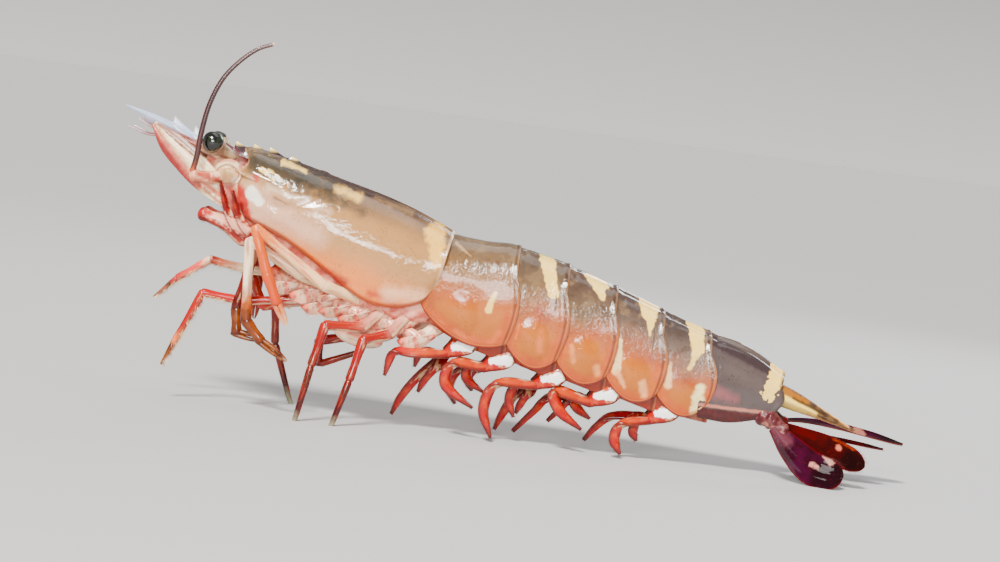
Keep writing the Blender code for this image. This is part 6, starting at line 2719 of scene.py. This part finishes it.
@dataclass
class Studio:
    """Floor, lights and camera."""

    aim: Flat = (73.85, 59.2)
    photo_width: float = 373.4
    lens: float = 100
    sensor: float = 36
    elevation: float = math.radians(3.5)
    roll: float = math.radians(7.6)
    floor_size: float = 60
    floor_colour: Point = (0.46, 0.46, 0.455)
    horizon: float = 1
    zenith: float = 0.38
    fade_height: float = 0.13
    key: float = 7.6
    key_angle: float = 11
    key_from: Point = (-0.25, -0.75, 0.85)
    key_colour: Point = (1, 0.98, 0.95)
    air: Point = (1, 0.975, 0.945)
    lit_point: Point = (0, 0, 0.06)
    floor_gap: float = 0.00002

    def floor(self) -> None:
        """A plain pale floor at the height of the feet."""
        bpy.ops.object.select_all(action="DESELECT")
        bpy.ops.mesh.primitive_plane_add(size=self.floor_size, location=(0, 0, CAD_BOX[0].z - self.floor_gap))
        plane = bpy.context.object
        plane.name = "floor"
        graph = Graph("pale_floor")
        plane.data.materials.append(graph.finish(
            Vector(self.floor_colour), Gloss(roughness=0.7, coat=0, subsurface=0)
        ))
        plane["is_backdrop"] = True

    def lamp(self, name: str, place: Point, size: Flat, power: float, colour: Point) -> None:
        """A soft rectangular light that looks at the middle of the model.

        Args:
            name: its name.
            place: where it hangs, in metres.
            size: its width and height, in metres.
            power: its power in watts.
            colour: its colour.
        """
        data = bpy.data.lights.new(name, "AREA")
        data.shape = "RECTANGLE"
        data.size, data.size_y = size
        data.energy = power
        data.color = colour
        light = bpy.data.objects.new(name, data)
        bpy.context.scene.collection.objects.link(light)
        light.location = place
        light.rotation_euler = (Vector(self.lit_point) - Vector(place)).to_track_quat("-Z", "Y").to_euler()

    def sky(self) -> None:
        """Even light from all round, brighter low down so that the floor has no hard horizon."""
        world = bpy.data.worlds.new("studio")
        graph = Graph("studio", world)
        _, _, height = graph.numbers(graph.node("ShaderNodeTexCoord", {}, {}, "Generated"))
        values = {0: height, 1: 0, 2: self.fade_height, 3: self.horizon, 4: self.zenith}
        graph.feed(graph.shader.inputs["Color"], Vector(self.air))
        graph.feed(graph.shader.inputs["Strength"], graph.node("ShaderNodeMapRange", {}, values))
        bpy.context.scene.world = world

    def lights(self) -> None:
        """A sun over the camera's shoulder, a soft light from above and one from behind."""
        self.sky()
        sun = bpy.data.lights.new("key", "SUN")
        sun.energy = self.key
        sun.angle = math.radians(self.key_angle)
        sun.color = self.key_colour
        key = bpy.data.objects.new("key", sun)
        bpy.context.scene.collection.objects.link(key)
        key.rotation_euler = (-Vector(self.key_from)).to_track_quat("-Z", "Y").to_euler()
        self.lamp("top", (0.1, 0.1, 1), (0.9, 0.5), 3, (1, 1, 1))
        self.lamp("rim", (0.4, 0.8, 0.5), (0.5, 0.3), 3, (0.95, 0.97, 1))
        self.lamp("strip", (-0.12, -1.1, 0.36), (0.38, 0.2), 12, (1, 1, 1))

    def camera(self) -> None:
        """A long lens from the animal's left, a little above the floor, turned as the photo is."""
        aim = PLACE.at(self.aim[0], 0, self.aim[1])
        distance = self.lens / self.sensor * self.photo_width * MM
        back = Vector((0, -math.cos(self.elevation), math.sin(self.elevation)))
        look = -back
        right = look.cross(UP).normalized()
        up = right.cross(look)
        turned_right = right * math.cos(self.roll) + up * math.sin(self.roll)
        turned_up = up * math.cos(self.roll) - right * math.sin(self.roll)
        data = bpy.data.cameras.new("camera")
        data.lens = self.lens
        data.sensor_width = self.sensor
        camera = bpy.data.objects.new("camera", data)
        bpy.context.scene.collection.objects.link(camera)
        camera.matrix_world = Matrix((turned_right, turned_up, back)).transposed().to_4x4()
        camera.location = aim + back * distance
        bpy.context.scene.camera = camera


def write_sizes() -> None:
    """Logs the box of the frame and the box of the dressed model."""
    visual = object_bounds()
    sizes = {
        "cad": [list(corner) for corner in CAD_BOX],
        "visual": [list(corner) for corner in visual],
    }
    for label, corners in sizes.items():
        LOG.info("%s box: %s", label, [[round(v * 1000, 1) for v in corner] for corner in corners])


def main() -> None:
    """Builds the prawn piece by piece."""
    logging.basicConfig(level=logging.INFO, format="%(message)s")
    studio = Studio()
    studio.camera()
    Carapace().build()
    Rostrum().build()
    Abdomen().build()
    Flesh().build()
    LegBases().build()
    Head().build()
    ThirdMaxillipeds().build()
    WalkingLegs().build()
    Pleopods().build()
    TailFan().build()
    studio.floor()
    studio.lights()
    faces = sum(len(piece.data.polygons) for piece in BENCH.made)
    LOG.info("%d pieces, %d faces", len(BENCH.made), faces)
    write_sizes()


if __name__ == "__main__":
    main()
